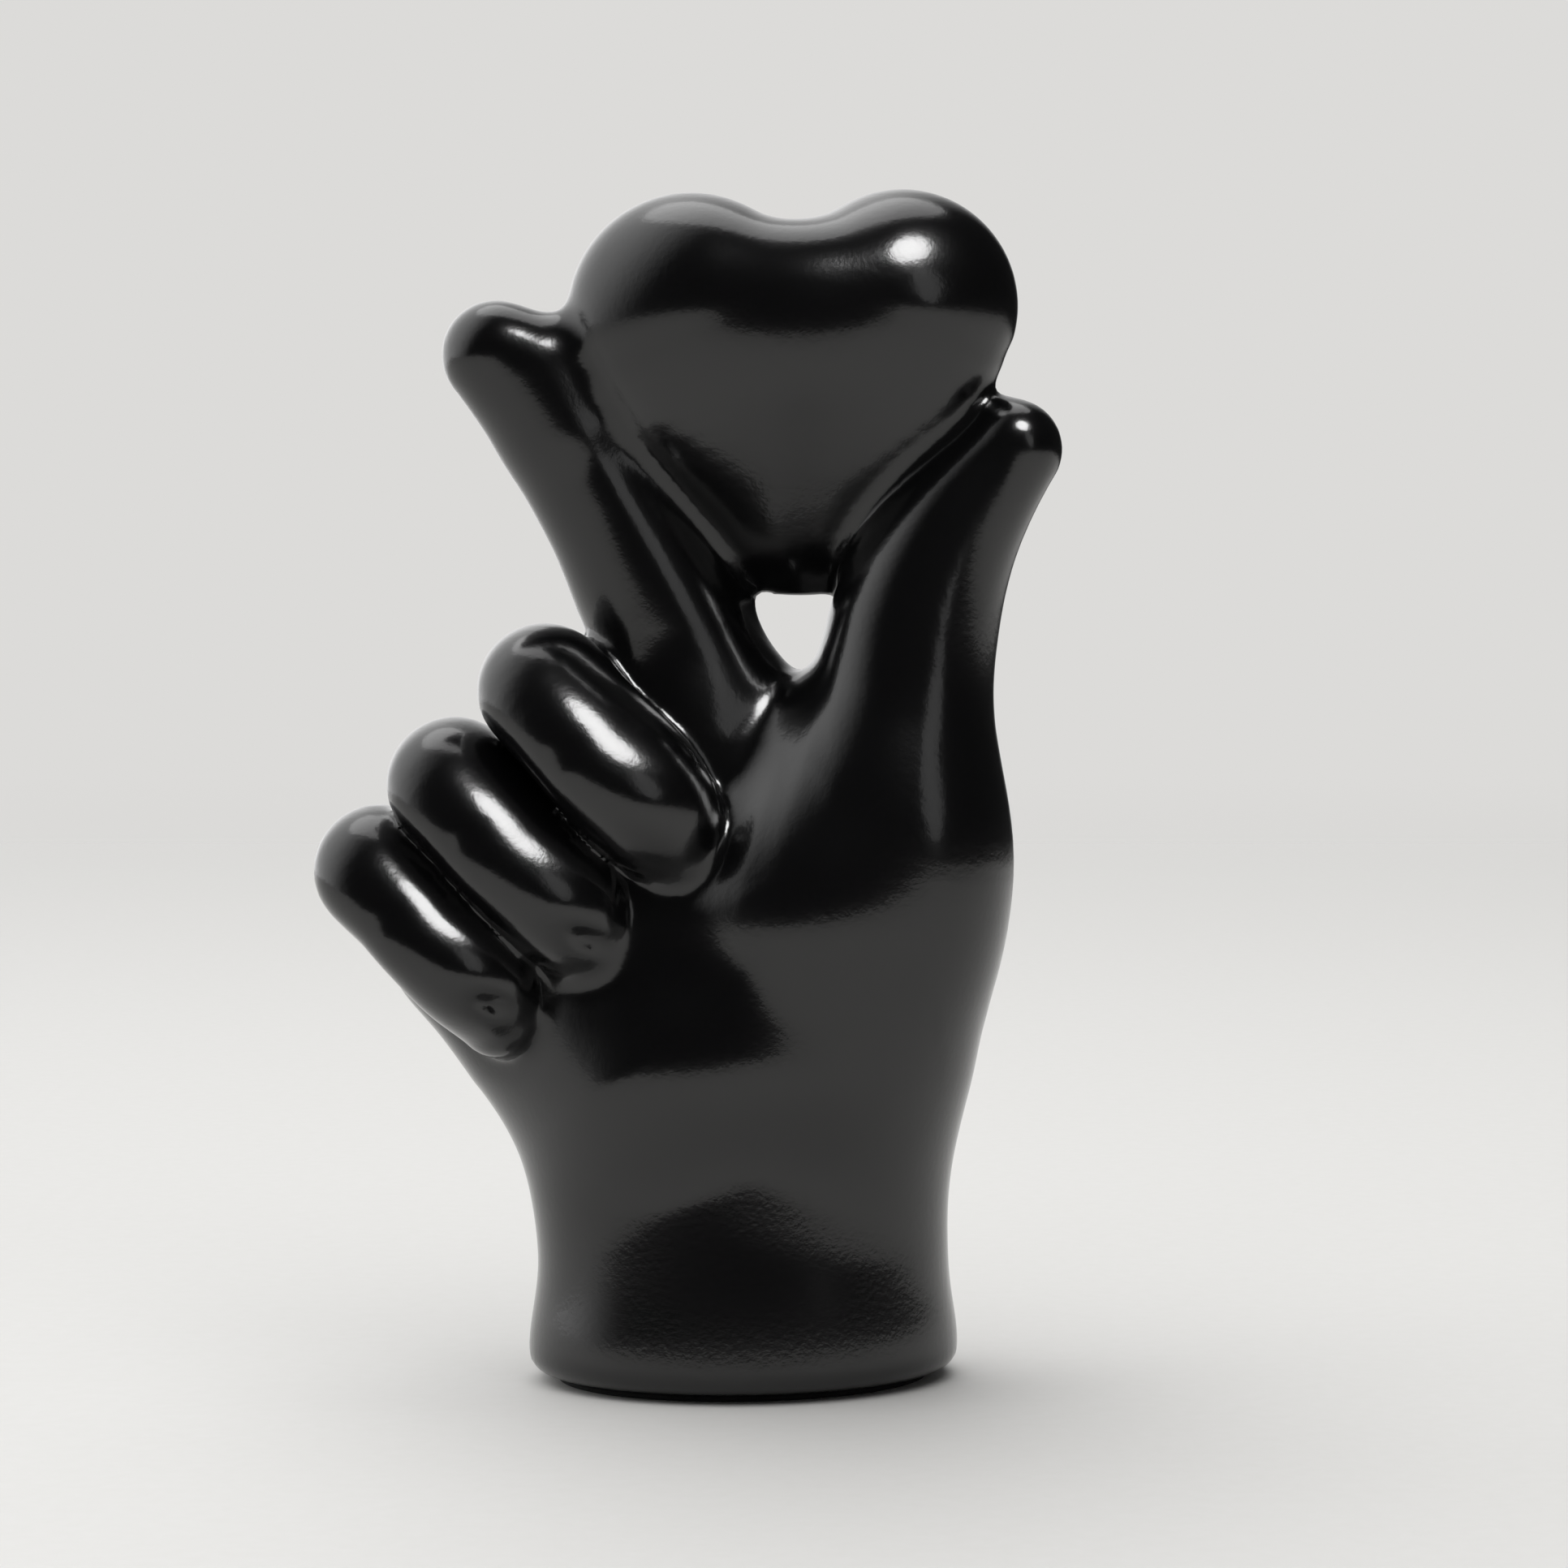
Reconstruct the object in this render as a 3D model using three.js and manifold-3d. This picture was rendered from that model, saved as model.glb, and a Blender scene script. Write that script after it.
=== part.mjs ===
/*
 * A right hand, palm to the viewer, that holds a plump heart between its forefinger and its thumb while
 * the other three fingers are curled into the palm. It is a free-standing ornament, cast in sections in
 * resin, bonded at the creases, and lacquered gloss black.
 *
 * Units are millimetres. +Z is up, the palm faces -Y, the thumb is on the +X side, and the origin is the
 * middle of the underside of the foot pad.
 *
 * The hand is sculpted on an armature. Each limb is a row of joints with a radius of flesh at each one,
 * and a smooth curve runs through them. A shape is written as a field: the distance from a point to its
 * surface, below zero inside. skin() turns a field into a closed mesh, and the booleans then cut the
 * seats where the castings meet.
 */
import * as THREE from "three";
import { mergeVertices } from "three/addons/utils/BufferGeometryUtils.js";
import Module from "manifold-3d";

const wasm = await Module();
wasm.setup();

const at = (x, y, z) => new THREE.Vector3(x, y, z);

// Fits and walls
const BOND_GAP = 0.3; // the bond line between two castings that touch
const SHELL_WALL = 4.5; // the wall of the hollow wrist and palm
const PIN_RADIUS = 1.5; // steel dowels across the seams that carry load
const PIN_LENGTH = 16;

// Mesh fineness
const PALM_CELL = 4.4;
const FOOT_CELL = 1.4; // height of the finer layers that round the foot
const LIMB_CELL = 3.8;
const HEART_CELL = 4.2;
const CAVITY_CELL = 6.0;

// Foot and wrist
const PAD_THICKNESS = 0.9;
const PAD_INSET = 1.5; // how far the pad's edge is from the edge of the flat underside
const FOOT_HALF_WIDTH = 32.8;
const FOOT_HALF_DEPTH = 25.4;
const FOOT_ROUNDING = 3.0;
const FOOT_WIDEST_HEIGHT = 5.0;
const FOOT_FLARE_HEIGHT = 8.0; // how far up the sides flare
const DEPTH_FLARE_HEIGHT = 27.0; // how far up the front and the back flare
const WRIST_HALF_WIDTH = 31.3;
const WRIST_HALF_DEPTH = 20.4;
const WRIST_HEIGHT = 34.0; // where the hand's armature begins
const COLUMN_HEIGHT = 44.0; // where the wrist begins to round over inside the palm
const WRIST_DOME = 22.0;
// The oval's turn about the upright, which brings the little finger's side forward
const WRIST_TURN = THREE.MathUtils.degToRad(8);

// Height of the hand: from the wrist to the middle of the heart
const HAND_RISE = 127;

/** A place of the armature, whose height above the wrist is a share of the hand's rise. */
const lifted = (x, y, share) => at(x, y, WRIST_HEIGHT + share * HAND_RISE);

// Closing plug and ballast
const PLUG_THICKNESS = 4.0;
const PLUG_RIM = 4.5; // width of the flat rim that is left round the plug
const VENT_RADIUS = 2.5;
const CAVITY_TOP = WRIST_HEIGHT + 0.39 * HAND_RISE;
const CAVITY_TOP_ROUNDING = 10.0;
const BALLAST_HEIGHT = 26.0;
const BALLAST_SHRINK = 0.5; // how far the poured ballast draws back from the wall as it sets

// Palm: a metacarpal runs from the carpus, inside the wrist, to each knuckle
const PALM_BLEND = 11.0;
const CARPUS_RADIUS = 16.0;
const CARPUS = {
  little: lifted(-13.9, 3, 0.0157),
  ring: lifted(-7.5, 3, 0.0315),
  middle: lifted(-0.5, 3, 0.0472),
  forefinger: lifted(6.5, 3, 0.063),
};
const KNUCKLE = {
  little: { place: lifted(-46.2, 9.5, 0.2992), radius: 10.8 },
  ring: { place: lifted(-34.6, 11.5, 0.4039), radius: 11.2 },
  middle: { place: lifted(-21.4, 12, 0.5), radius: 11.5 },
  forefinger: { place: lifted(-3.0, 8, 0.5039), radius: 11.8 },
};
const FINGER_PADS = [
  { place: lifted(-43, 1, 0.2441), radius: 9 },
  { place: lifted(-24, 0, 0.3937), radius: 11 },
  { place: lifted(-8, 0.5, 0.4567), radius: 9.5 },
];
const HEEL = [
  { place: lifted(-22, 1, 0.063), radius: 6 },
  { place: lifted(-30.2, 2, 0.1496), radius: 9.8 },
];
// The slope that falls from the thumb's ridge into the hand, in three bands from the top down
const WEB = [
  [
    { place: lifted(19, 0, 0.4803), radius: 10.5 },
    { place: lifted(5, 5, 0.4646), radius: 7.5 },
  ],
  [
    { place: lifted(16, -4, 0.4016), radius: 12.5 },
    { place: lifted(5, 3, 0.4016), radius: 9 },
  ],
  [
    { place: lifted(9, -5, 0.3228), radius: 13.5 },
    { place: lifted(0, 0, 0.3228), radius: 10 },
  ],
];
const THENAR = [
  { place: lifted(5.5, -5, 0.1496), radius: 15.5 },
  { place: lifted(8, -6.5, 0.2756), radius: 15.5 },
];
const HYPOTHENAR = [
  { place: lifted(-12, -5.5, 0.122), radius: 16 },
  { place: lifted(-21, -3, 0.2205), radius: 13 },
];
const PALM_HOLLOW = [
  { place: lifted(-14, -2.5, 0.2992), radius: 11.5 },
  { place: lifted(-3.5, -2.5, 0.3071), radius: 11 },
];
const MIDDLE_CROTCH = [
  { place: lifted(-17.5, 3, 0.5472), radius: 7.5 },
  { place: lifted(-11, 2, 0.5433), radius: 8 },
];

// Thumb: from inside the wrist, through the thenar pad, to the tip
const THUMB = [
  { place: lifted(6, 1, -0.0157), radius: 15.5 },
  { place: lifted(15.8, 0, 0.1654), radius: 19.4 },
  { place: lifted(22.8, -4, 0.3386), radius: 18.0 },
  { place: lifted(24.2, -3, 0.5197), radius: 13.7 },
  { place: lifted(26.0, -1.5, 0.6417), radius: 12.8 },
  { place: lifted(31.2, -1.5, 0.7425), radius: 10.6 },
  { place: lifted(40.4, -2.5, 0.8409), radius: 7.6 },
];
// A point on the cut between thumb and palm, in the crotch of the web
const THUMB_SEAM = lifted(8.3, 0, 0.5811);
const THUMB_SEAM_SLOPE = THREE.MathUtils.degToRad(20);

// Forefinger: from its knuckle up to the tip, whose inner side is pressed flat against the heart
const FOREFINGER = [
  { place: lifted(-3.4, 7, 0.5118), radius: 11.6 },
  { place: lifted(-6.5, 6, 0.5551), radius: 12.0 },
  { place: lifted(-12.8, 4.5, 0.6457), radius: 11.5 },
  { place: lifted(-20.4, 3, 0.7606), radius: 9.9 },
  { place: lifted(-29.4, 2, 0.8795), radius: 9.5 },
  { place: lifted(-37.3, 0, 0.9528), radius: 8.2 },
];
const FOREFINGER_PAD = [
  { place: lifted(-27.5, 1, 0.8661), radius: 8.0 },
  { place: lifted(-30.2, 0, 0.9386), radius: 7.3 },
];
const FOREFINGER_PAD_BLEND = 4.0;

// Curled fingers: rolls that lie side by side across the palm, each from its bent joint down to its tip
const FIST_TILT = THREE.MathUtils.degToRad(48.5); // the rolls' slope below the horizontal
const ROLL_DOWN = at(Math.cos(FIST_TILT), 0, -Math.sin(FIST_TILT)); // from joint to tip
const ROLL_ACROSS = at(Math.sin(FIST_TILT), 0, Math.cos(FIST_TILT)); // towards the next finger up
const ROLL = {
  middle: { joint: lifted(-29.7, -11.0, 0.5591), jointRadius: 9.2, belly: 10.4, tip: 8.6, length: 30.0 },
  ring: { joint: lifted(-43.3, -11.0, 0.4488), jointRadius: 9.1, belly: 9.6, tip: 7.9, length: 32.0 },
  little: { joint: lifted(-54.6, -10.5, 0.3488), jointRadius: 8.5, belly: 9.0, tip: 7.5, length: 28.2 },
};
const ROLL_BELLY_AT = 0.6; // the belly's place, as a share of the way from joint to tip
const ROLL_BELLY_RISE = 5.0; // how far the belly stands in front of the joint
const ROLL_BELLY_SHIFT = 0.8; // how far it stands to the side of the line from joint to tip
const ROLL_TIP_RISE = 0.5; // how far the tip stands in front of the joint
const ROLL_LEAN = 0.35; // how much farther back each millimetre towards the next finger up lies
const ROLL_ROOT_RADIUS = 9.6;
const ROLL_FILL_RADIUS = 8.0; // flesh that closes the inside of the curl
const ROLL_FILL_BLEND = 4.0;

// Heart: two lobes and a full front and back between them, which taper to one broad tip
const HEART = {
  centre: lifted(8.5, 0, 1.0),
  swells: [
    [
      { place: at(-16.4, 0, -0.4), radius: 18.7 },
      { place: at(-6.0, 0, -32.2), radius: 8.8 },
    ],
    [
      { place: at(15.4, 0, 1.3), radius: 17.5 },
      { place: at(6.0, 0, -32.2), radius: 8.8 },
    ],
    ...[-1, 1].flatMap((side) => [
      [
        { place: at(-13, 10.5 * side, 2.3), radius: 8.5 },
        { place: at(13, 10.5 * side, 2.8), radius: 8.5 },
      ],
      [
        { place: at(0, 5 * side, -6.0), radius: 13.5 },
        { place: at(0, 3.5 * side, -17.0), radius: 11.5 },
        { place: at(0, 0, -29.0), radius: 7.5 },
      ],
    ]),
  ],
  blend: 9.0,
  thickness: 0.74, // depth as a share of the lobes' width
  tipThinning: 0.6, // how much thinner it is at the tip
  tipBack: 8.0, // how far the tip lies behind the lobes
  thinsFrom: -8.0,
  thinsOver: 33.0,
};

// Fields: the distance from a point to a surface, below zero inside

const BEADS_PER_SPAN = 5;

/** Joins two fields with a fillet about `blend` wide. */
function smoothUnion(a, b, blend) {
  const h = Math.max(blend - Math.abs(a - b), 0) / blend;
  return Math.min(a, b) - (h * h * blend) / 4;
}

/** Flesh on a row of joints, each { place, radius }, along a smooth curve. */
function limb(joints, steps = BEADS_PER_SPAN) {
  const curve = new THREE.CatmullRomCurve3(joints.map((j) => j.place));
  const girth = new THREE.SplineCurve(
    joints.map((j, i) => new THREE.Vector2(i, j.radius)),
  );
  const count = (joints.length - 1) * steps;
  const beads = Array.from({ length: count + 1 }, (_, i) => ({
    place: curve.getPoint(i / count),
    radius: girth.getPoint(i / count).y,
  }));
  return (x, y, z) => {
    let nearest = Infinity;
    for (let i = 0; i < count; i++) {
      const { place: a, radius: ra } = beads[i];
      const { place: b, radius: rb } = beads[i + 1];
      const [bx, by, bz] = [b.x - a.x, b.y - a.y, b.z - a.z];
      const [px, py, pz] = [x - a.x, y - a.y, z - a.z];
      const along = (px * bx + py * by + pz * bz) / (bx * bx + by * by + bz * bz);
      const t = Math.min(1, Math.max(0, along));
      const far = Math.hypot(px - t * bx, py - t * by, pz - t * bz);
      nearest = Math.min(nearest, far - ra - t * (rb - ra));
    }
    return nearest;
  };
}

/** The upright oval wrist, flared at the foot and domed at the top. */
function wrist(x, y, z) {
  const widening = Math.exp(-(((z - FOOT_WIDEST_HEIGHT) / FOOT_FLARE_HEIGHT) ** 2));
  const deepening = Math.exp(-((z / DEPTH_FLARE_HEIGHT) ** 2));
  const a = WRIST_HALF_WIDTH + (FOOT_HALF_WIDTH - WRIST_HALF_WIDTH) * widening;
  const b = WRIST_HALF_DEPTH + (FOOT_HALF_DEPTH - WRIST_HALF_DEPTH) * deepening;
  const up = Math.max(0, z - COLUMN_HEIGHT);
  const u = x * Math.cos(WRIST_TURN) + y * Math.sin(WRIST_TURN);
  const v = y * Math.cos(WRIST_TURN) - x * Math.sin(WRIST_TURN);
  const outward = Math.hypot(u / a, v / b, up / WRIST_DOME);
  const slope = Math.hypot(u / a ** 2, v / b ** 2, up / WRIST_DOME ** 2);
  return slope < 1e-9 ? -b : (outward * (outward - 1)) / slope;
}

/** Flesh between two joints, on a straight line. */
const straight = (joints) => limb(joints, 1);

const palmFlesh = [
  ...Object.keys(KNUCKLE).map((finger) =>
    straight([{ place: CARPUS[finger], radius: CARPUS_RADIUS }, KNUCKLE[finger]]),
  ),
  limb(FINGER_PADS),
  straight(HEEL),
  limb(THUMB),
  ...WEB.map(straight),
  ...[THENAR, HYPOTHENAR, PALM_HOLLOW, MIDDLE_CROTCH].map(straight),
];

/** Wrist, palm and thumb in one flowing form, endless below. */
function palmForm(x, y, z) {
  return palmFlesh.reduce(
    (d, flesh) => smoothUnion(d, flesh(x, y, z), PALM_BLEND),
    wrist(x, y, z),
  );
}

/** The same form, with its underside cut flat and rounded off all round. */
function footedForm(x, y, z) {
  const underside = PAD_THICKNESS + BOND_GAP;
  const side = palmForm(x, y, z) + FOOT_ROUNDING;
  const under = underside - z + FOOT_ROUNDING;
  const outside = Math.hypot(Math.max(side, 0), Math.max(under, 0));
  return outside - FOOT_ROUNDING + Math.min(Math.max(side, under), 0);
}

/** The heart, whose depth is a share of its width, and whose tip is thinner and lies farther back. */
const heartField = (() => {
  const { centre, blend, thickness, tipThinning, tipBack, thinsFrom, thinsOver } = HEART;
  const swells = HEART.swells.map((joints) => limb(joints));
  return (x, y, z) => {
    const height = z - centre.z;
    const down = THREE.MathUtils.clamp((thinsFrom - height) / thinsOver, 0, 1) ** 2;
    const depth = thickness * (1 - tipThinning * down);
    const p = [x - centre.x, (y - centre.y - tipBack * down) / depth, height];
    return depth * swells.map((swell) => swell(...p)).reduce((a, b) => smoothUnion(a, b, blend));
  };
})();

/** The forefinger with the pad at its tip. */
const forefingerField = (() => {
  const finger = limb(FOREFINGER);
  const pad = limb(FOREFINGER_PAD);
  return (x, y, z) => smoothUnion(finger(x, y, z), pad(x, y, z), FOREFINGER_PAD_BLEND);
})();

/** A curled finger's joints: knuckle, bent joint, belly and tip. */
function rollJoints(name) {
  const { joint, jointRadius, belly, tip, length } = ROLL[name];
  const bellyPlace = joint
    .clone()
    .addScaledVector(ROLL_DOWN, length * ROLL_BELLY_AT)
    .addScaledVector(ROLL_ACROSS, ROLL_BELLY_SHIFT)
    .add(at(0, -ROLL_BELLY_RISE, 0));
  const tipPlace = joint.clone().addScaledVector(ROLL_DOWN, length).add(at(0, -ROLL_TIP_RISE, 0));
  return [
    { place: KNUCKLE[name].place, radius: ROLL_ROOT_RADIUS },
    { place: joint, radius: jointRadius },
    { place: bellyPlace, radius: belly },
    { place: tipPlace, radius: tip },
  ];
}

/** A curled finger, closed on the inside of its curl, whose front leans back towards the next finger up. */
function rollField(name) {
  const joints = rollJoints(name);
  const [knuckle, joint, , tip] = joints.map((j) => j.place);
  const finger = limb(joints);
  const fill = limb([
    { place: joint, radius: ROLL_FILL_RADIUS },
    { place: knuckle.clone().lerp(tip, 0.5), radius: ROLL_FILL_RADIUS },
  ]);
  return (x, y, z) => {
    const across = (x - joint.x) * ROLL_ACROSS.x + (z - joint.z) * ROLL_ACROSS.z;
    const p = [x, y - ROLL_LEAN * across, z];
    return smoothUnion(finger(...p), fill(...p), ROLL_FILL_BLEND);
  };
}

// Skinning

const CELL_REACH = 0.2; // how far a vertex may leave its cell, as a share of the cell
const CORNERS = [0, 1, 2, 3, 4, 5, 6, 7].map((i) => [i & 1, (i >> 1) & 1, i >> 2]);
const EDGES = [0, 1, 2].flatMap((axis) =>
  CORNERS.flatMap((p, m) => (p[axis] ? [] : [{ from: m, to: m + (1 << axis), axis }])),
);

// The four cells round a grid edge, in order, as steps back along the two other axes
const QUAD = [
  [1, 1],
  [0, 1],
  [0, 0],
  [1, 0],
];

/** The group of each corner of a cell: joined inside corners share one, and outside ones have -1. */
function insideGroups(corner) {
  const group = corner.map((v, m) => (v < 0 ? m : -1));
  const joined = EDGES.filter(({ from, to }) => group[from] >= 0 && group[to] >= 0);
  for (let pass = 0; pass < joined.length; pass++)
    for (const { from, to } of joined) group[from] = group[to] = Math.min(group[from], group[to]);
  return group;
}

/** The middle of a surface's crossings round one group of a cell's inside corners, in cell units. */
function middleOfCrossings(corner, group, name) {
  const sum = [0, 0, 0];
  let crossings = 0;
  for (const { from, to, axis } of EDGES) {
    if (group[from] >= 0 === group[to] >= 0 || Math.max(group[from], group[to]) !== name) continue;
    const t = corner[from] / (corner[from] - corner[to]);
    CORNERS[from].forEach((v, q) => (sum[q] += v + (q === axis ? t : 0)));
    crossings++;
  }
  return sum.map((total) => total / crossings);
}

/** A field's slope at a point. */
function slopeAt(field, [x, y, z]) {
  const e = 0.05;
  return [
    (field(x + e, y, z) - field(x - e, y, z)) / (2 * e),
    (field(x, y + e, z) - field(x, y - e, z)) / (2 * e),
    (field(x, y, z + e) - field(x, y, z - e)) / (2 * e),
  ];
}

/** A point moved along a field's slope onto its zero surface, but no farther than just beyond its cell. */
function settle(field, start, low, high) {
  let p = start;
  for (let i = 0; i < 4; i++) {
    const slope = slopeAt(field, p);
    const steep = slope[0] ** 2 + slope[1] ** 2 + slope[2] ** 2;
    if (steep < 1e-6) break;
    const step = field(...p) / steep;
    p = p.map((v, k) => v - step * slope[k]);
  }
  const shares = p.map((v, k) => {
    const reach = CELL_REACH * (high[k] - low[k]);
    const room = v > start[k] ? high[k] + reach - start[k] : start[k] - low[k] + reach;
    return room / Math.max(Math.abs(v - start[k]), room);
  });
  const share = Math.min(...shares);
  return start.map((v, k) => v + share * (p[k] - v));
}

/** Places along one axis, a cell apart, with finer steps below a given place. */
function gridLines(low, high, cell, fineBelow = -Infinity, fineCell = cell) {
  const lines = [low];
  while (lines.at(-1) < high) {
    const here = lines.at(-1);
    lines.push(here + (here < fineBelow ? fineCell : cell));
  }
  return lines;
}

/** The closed mesh of a field's surface inside a box: one vertex in each cell that the surface crosses. */
function skin(field, box, cell, fineBelow, fineCell) {
  const xs = gridLines(box.min.x - cell, box.max.x + cell, cell);
  const ys = gridLines(box.min.y - cell, box.max.y + cell, cell);
  const zs = gridLines(box.min.z - cell, box.max.z + cell, cell, fineBelow, fineCell);
  const size = at(xs.length, ys.length, zs.length);
  const index = (i, j, k) => (k * size.y + j) * size.x + i;
  const value = new Float64Array(size.x * size.y * size.z);
  for (let k = 0; k < size.z; k++)
    for (let j = 0; j < size.y; j++)
      for (let i = 0; i < size.x; i++) value[index(i, j, k)] = field(xs[i], ys[j], zs[k]);

  const between = (lines, n, share) => lines[n] + share * (lines[n + 1] - lines[n]);
  const vertices = [];
  const vertexOf = new Map();
  const key = (cell, corner) => cell * CORNERS.length + corner;
  for (let k = 0; k < size.z - 1; k++)
    for (let j = 0; j < size.y - 1; j++)
      for (let i = 0; i < size.x - 1; i++) {
        const corner = CORNERS.map(([a, b, c]) => value[index(i + a, j + b, k + c)]);
        const group = insideGroups(corner);
        if (!group.includes(-1)) continue;
        for (const name of new Set(group.filter((g) => g >= 0))) {
          const [u, v, w] = middleOfCrossings(corner, group, name);
          const middle = [between(xs, i, u), between(ys, j, v), between(zs, k, w)];
          group.forEach((g, m) => {
            if (g === name) vertexOf.set(key(index(i, j, k), m), vertices.length / 3);
          });
          vertices.push(
            ...settle(field, middle, [xs[i], ys[j], zs[k]], [xs[i + 1], ys[j + 1], zs[k + 1]]),
          );
        }
      }

  const span = (m, n) =>
    Math.hypot(...[0, 1, 2].map((q) => vertices[3 * m + q] - vertices[3 * n + q]));
  const triangles = [];
  const strides = [index(1, 0, 0), index(0, 1, 0), index(0, 0, 1)];
  for (let k = 1; k < size.z - 1; k++)
    for (let j = 1; j < size.y - 1; j++)
      for (let i = 1; i < size.x - 1; i++) {
        const here = index(i, j, k);
        strides.forEach((ahead, axis) => {
          const [next, last] = [(axis + 1) % 3, (axis + 2) % 3];
          const inside = value[here] < 0;
          if (inside === value[here + ahead] < 0) return;
          const ring = QUAD.map(([u, v]) => {
            const corner = (u << next) + (v << last) + (inside ? 0 : 1 << axis);
            return vertexOf.get(key(here - u * strides[next] - v * strides[last], corner));
          });
          const [a, b, c, d] = inside ? ring : ring.reverse();
          if (span(a, c) < span(b, d)) triangles.push(a, b, c, a, c, d);
          else triangles.push(a, b, d, b, c, d);
        });
      }
  const geometry = new THREE.BufferGeometry();
  geometry.setAttribute("position", new THREE.Float32BufferAttribute(vertices, 3));
  geometry.setIndex(triangles);
  return geometry;
}

/** A field's mesh with each vertex moved outward by a distance, or inward where it is below zero. */
function swollen(geometry, field, by) {
  const grown = geometry.clone();
  const place = grown.attributes.position;
  for (let i = 0; i < place.count; i++) {
    const p = new THREE.Vector3().fromBufferAttribute(place, i);
    const out = new THREE.Vector3(...slopeAt(field, p.toArray())).normalize();
    p.addScaledVector(out, by);
    place.setXYZ(i, p.x, p.y, p.z);
  }
  return grown;
}

// Solids

/** A closed geometry whose triangles share their corners, as a solid for joining and cutting. */
function solid(geometry) {
  return new wasm.Manifold(
    new wasm.Mesh({
      numProp: 3,
      vertProperties: geometry.attributes.position.array,
      triVerts: new Uint32Array(geometry.index.array),
    }),
  );
}

/** A box, cylinder or plate as a solid. Its faces don't share corners until they are merged. */
function plainSolid(geometry) {
  const bare = geometry.clone();
  bare.deleteAttribute("normal");
  bare.deleteAttribute("uv");
  return solid(mergeVertices(bare, 1e-4));
}

/** A solid as a geometry again. */
function geometryOf(made) {
  const { numProp, vertProperties, triVerts } = made.getMesh();
  const position = new Float32Array((vertProperties.length / numProp) * 3);
  for (let i = 0; i < position.length / 3; i++)
    position.set(vertProperties.subarray(i * numProp, i * numProp + 3), i * 3);
  const geometry = new THREE.BufferGeometry();
  geometry.setAttribute("position", new THREE.BufferAttribute(position, 3));
  geometry.setIndex(new THREE.BufferAttribute(triVerts, 1));
  return geometry;
}

/** The box round a row of joints, grown by their flesh and by what a blend can add to it. */
function boxOf(joints, blend) {
  const box = new THREE.Box3();
  for (const { place, radius } of joints) {
    const reach = at(1, 1, 1).multiplyScalar(radius + blend / 2);
    box.expandByPoint(place.clone().sub(reach));
    box.expandByPoint(place.clone().add(reach));
  }
  return box;
}

const REACH = 200; // beyond every face of the sculpture
const block = (low, high) => {
  const size = high.clone().sub(low);
  const geometry = new THREE.BoxGeometry(size.x, size.y, size.z);
  geometry.translate(...low.clone().add(high).multiplyScalar(0.5));
  return plainSolid(geometry);
};

/** An oval plate, turned as the wrist is, from one height to another, with or without a round hole. */
function ovalPlate(halfWidth, halfDepth, bottom, top, holeRadius = 0) {
  const outline = new THREE.Shape();
  outline.absellipse(0, 0, halfWidth, halfDepth, 0, 2 * Math.PI);
  if (holeRadius > 0) {
    const hole = new THREE.Path();
    hole.absarc(0, 0, holeRadius, 0, 2 * Math.PI, true);
    outline.holes.push(hole);
  }
  const plate = new THREE.ExtrudeGeometry(outline, {
    depth: top - bottom,
    bevelEnabled: false,
    curveSegments: 32,
  });
  return plate.rotateZ(WRIST_TURN).translate(0, 0, bottom);
}

/** A dowel from a middle point along a direction. */
function dowel(middle, direction, radius, length) {
  const geometry = new THREE.CylinderGeometry(radius, radius, length, 20);
  const turn = new THREE.Quaternion().setFromUnitVectors(at(0, 1, 0), direction.clone().normalize());
  return geometry.applyQuaternion(turn).translate(middle.x, middle.y, middle.z);
}

/** The half of space on the far side of a sloping plane through a point. */
function beyond(point, slope) {
  const geometry = new THREE.BoxGeometry(2 * REACH, 2 * REACH, 2 * REACH);
  geometry.translate(0, 0, REACH).rotateY(slope);
  return plainSolid(geometry.translate(point.x, point.y, point.z));
}

/** A whole form, and the seat it needs in a neighbour: the same form grown by the bond line. */
function formAndSeat(field, box, cell, fineBelow, fineCell) {
  const surface = skin(field, box, cell, fineBelow, fineCell);
  return { whole: solid(surface), seat: solid(swollen(surface, field, BOND_GAP)) };
}

const palmBox = boxOf([...Object.values(KNUCKLE), ...THUMB], PALM_BLEND);
// A deeper foot moves the box's front by whole cells, so that the facets of the fingers' seats stay
const footBeyond = Math.max(0, palmBox.min.y + FOOT_HALF_DEPTH + 1);
palmBox.min.y -= PALM_CELL * Math.ceil(footBeyond / PALM_CELL);
palmBox.expandByPoint(at(-FOOT_HALF_WIDTH - 1, 0, 0));
palmBox.expandByPoint(at(FOOT_HALF_WIDTH + 1, FOOT_HALF_DEPTH + 1, 0));
const palm = formAndSeat(footedForm, palmBox, PALM_CELL, 2 * FOOT_ROUNDING, FOOT_CELL);
const heartBox = boxOf(HEART.swells.flat(), HEART.blend).translate(HEART.centre);
const heart = formAndSeat(heartField, heartBox, HEART_CELL);
const forefingerBox = boxOf([...FOREFINGER, ...FOREFINGER_PAD], FOREFINGER_PAD_BLEND);
const forefinger = formAndSeat(forefingerField, forefingerBox, LIMB_CELL);
const [middleFinger, ringFinger, littleFinger] = ["middle", "ring", "little"].map((name) =>
  formAndSeat(rollField(name), boxOf(rollJoints(name), ROLL_FILL_BLEND), LIMB_CELL),
);

// The thumb casting is what stands beyond a sloping cut that starts in the crotch of the web
const thumbSide = beyond(THUMB_SEAM, THUMB_SEAM_SLOPE);
const thumbSideSeat = beyond(THUMB_SEAM.clone().add(at(0, 0, -BOND_GAP)), THUMB_SEAM_SLOPE);

// Hollow of the wrist and palm, and the mouth that the plug closes
const underside = PAD_THICKNESS + BOND_GAP;
const plugTop = underside + PLUG_THICKNESS;
const flatHalfWidth = FOOT_HALF_WIDTH - FOOT_ROUNDING;
const flatHalfDepth = FOOT_HALF_DEPTH - FOOT_ROUNDING;
const mouthHalfWidth = flatHalfWidth - PLUG_RIM;
const mouthHalfDepth = flatHalfDepth - PLUG_RIM;

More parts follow.
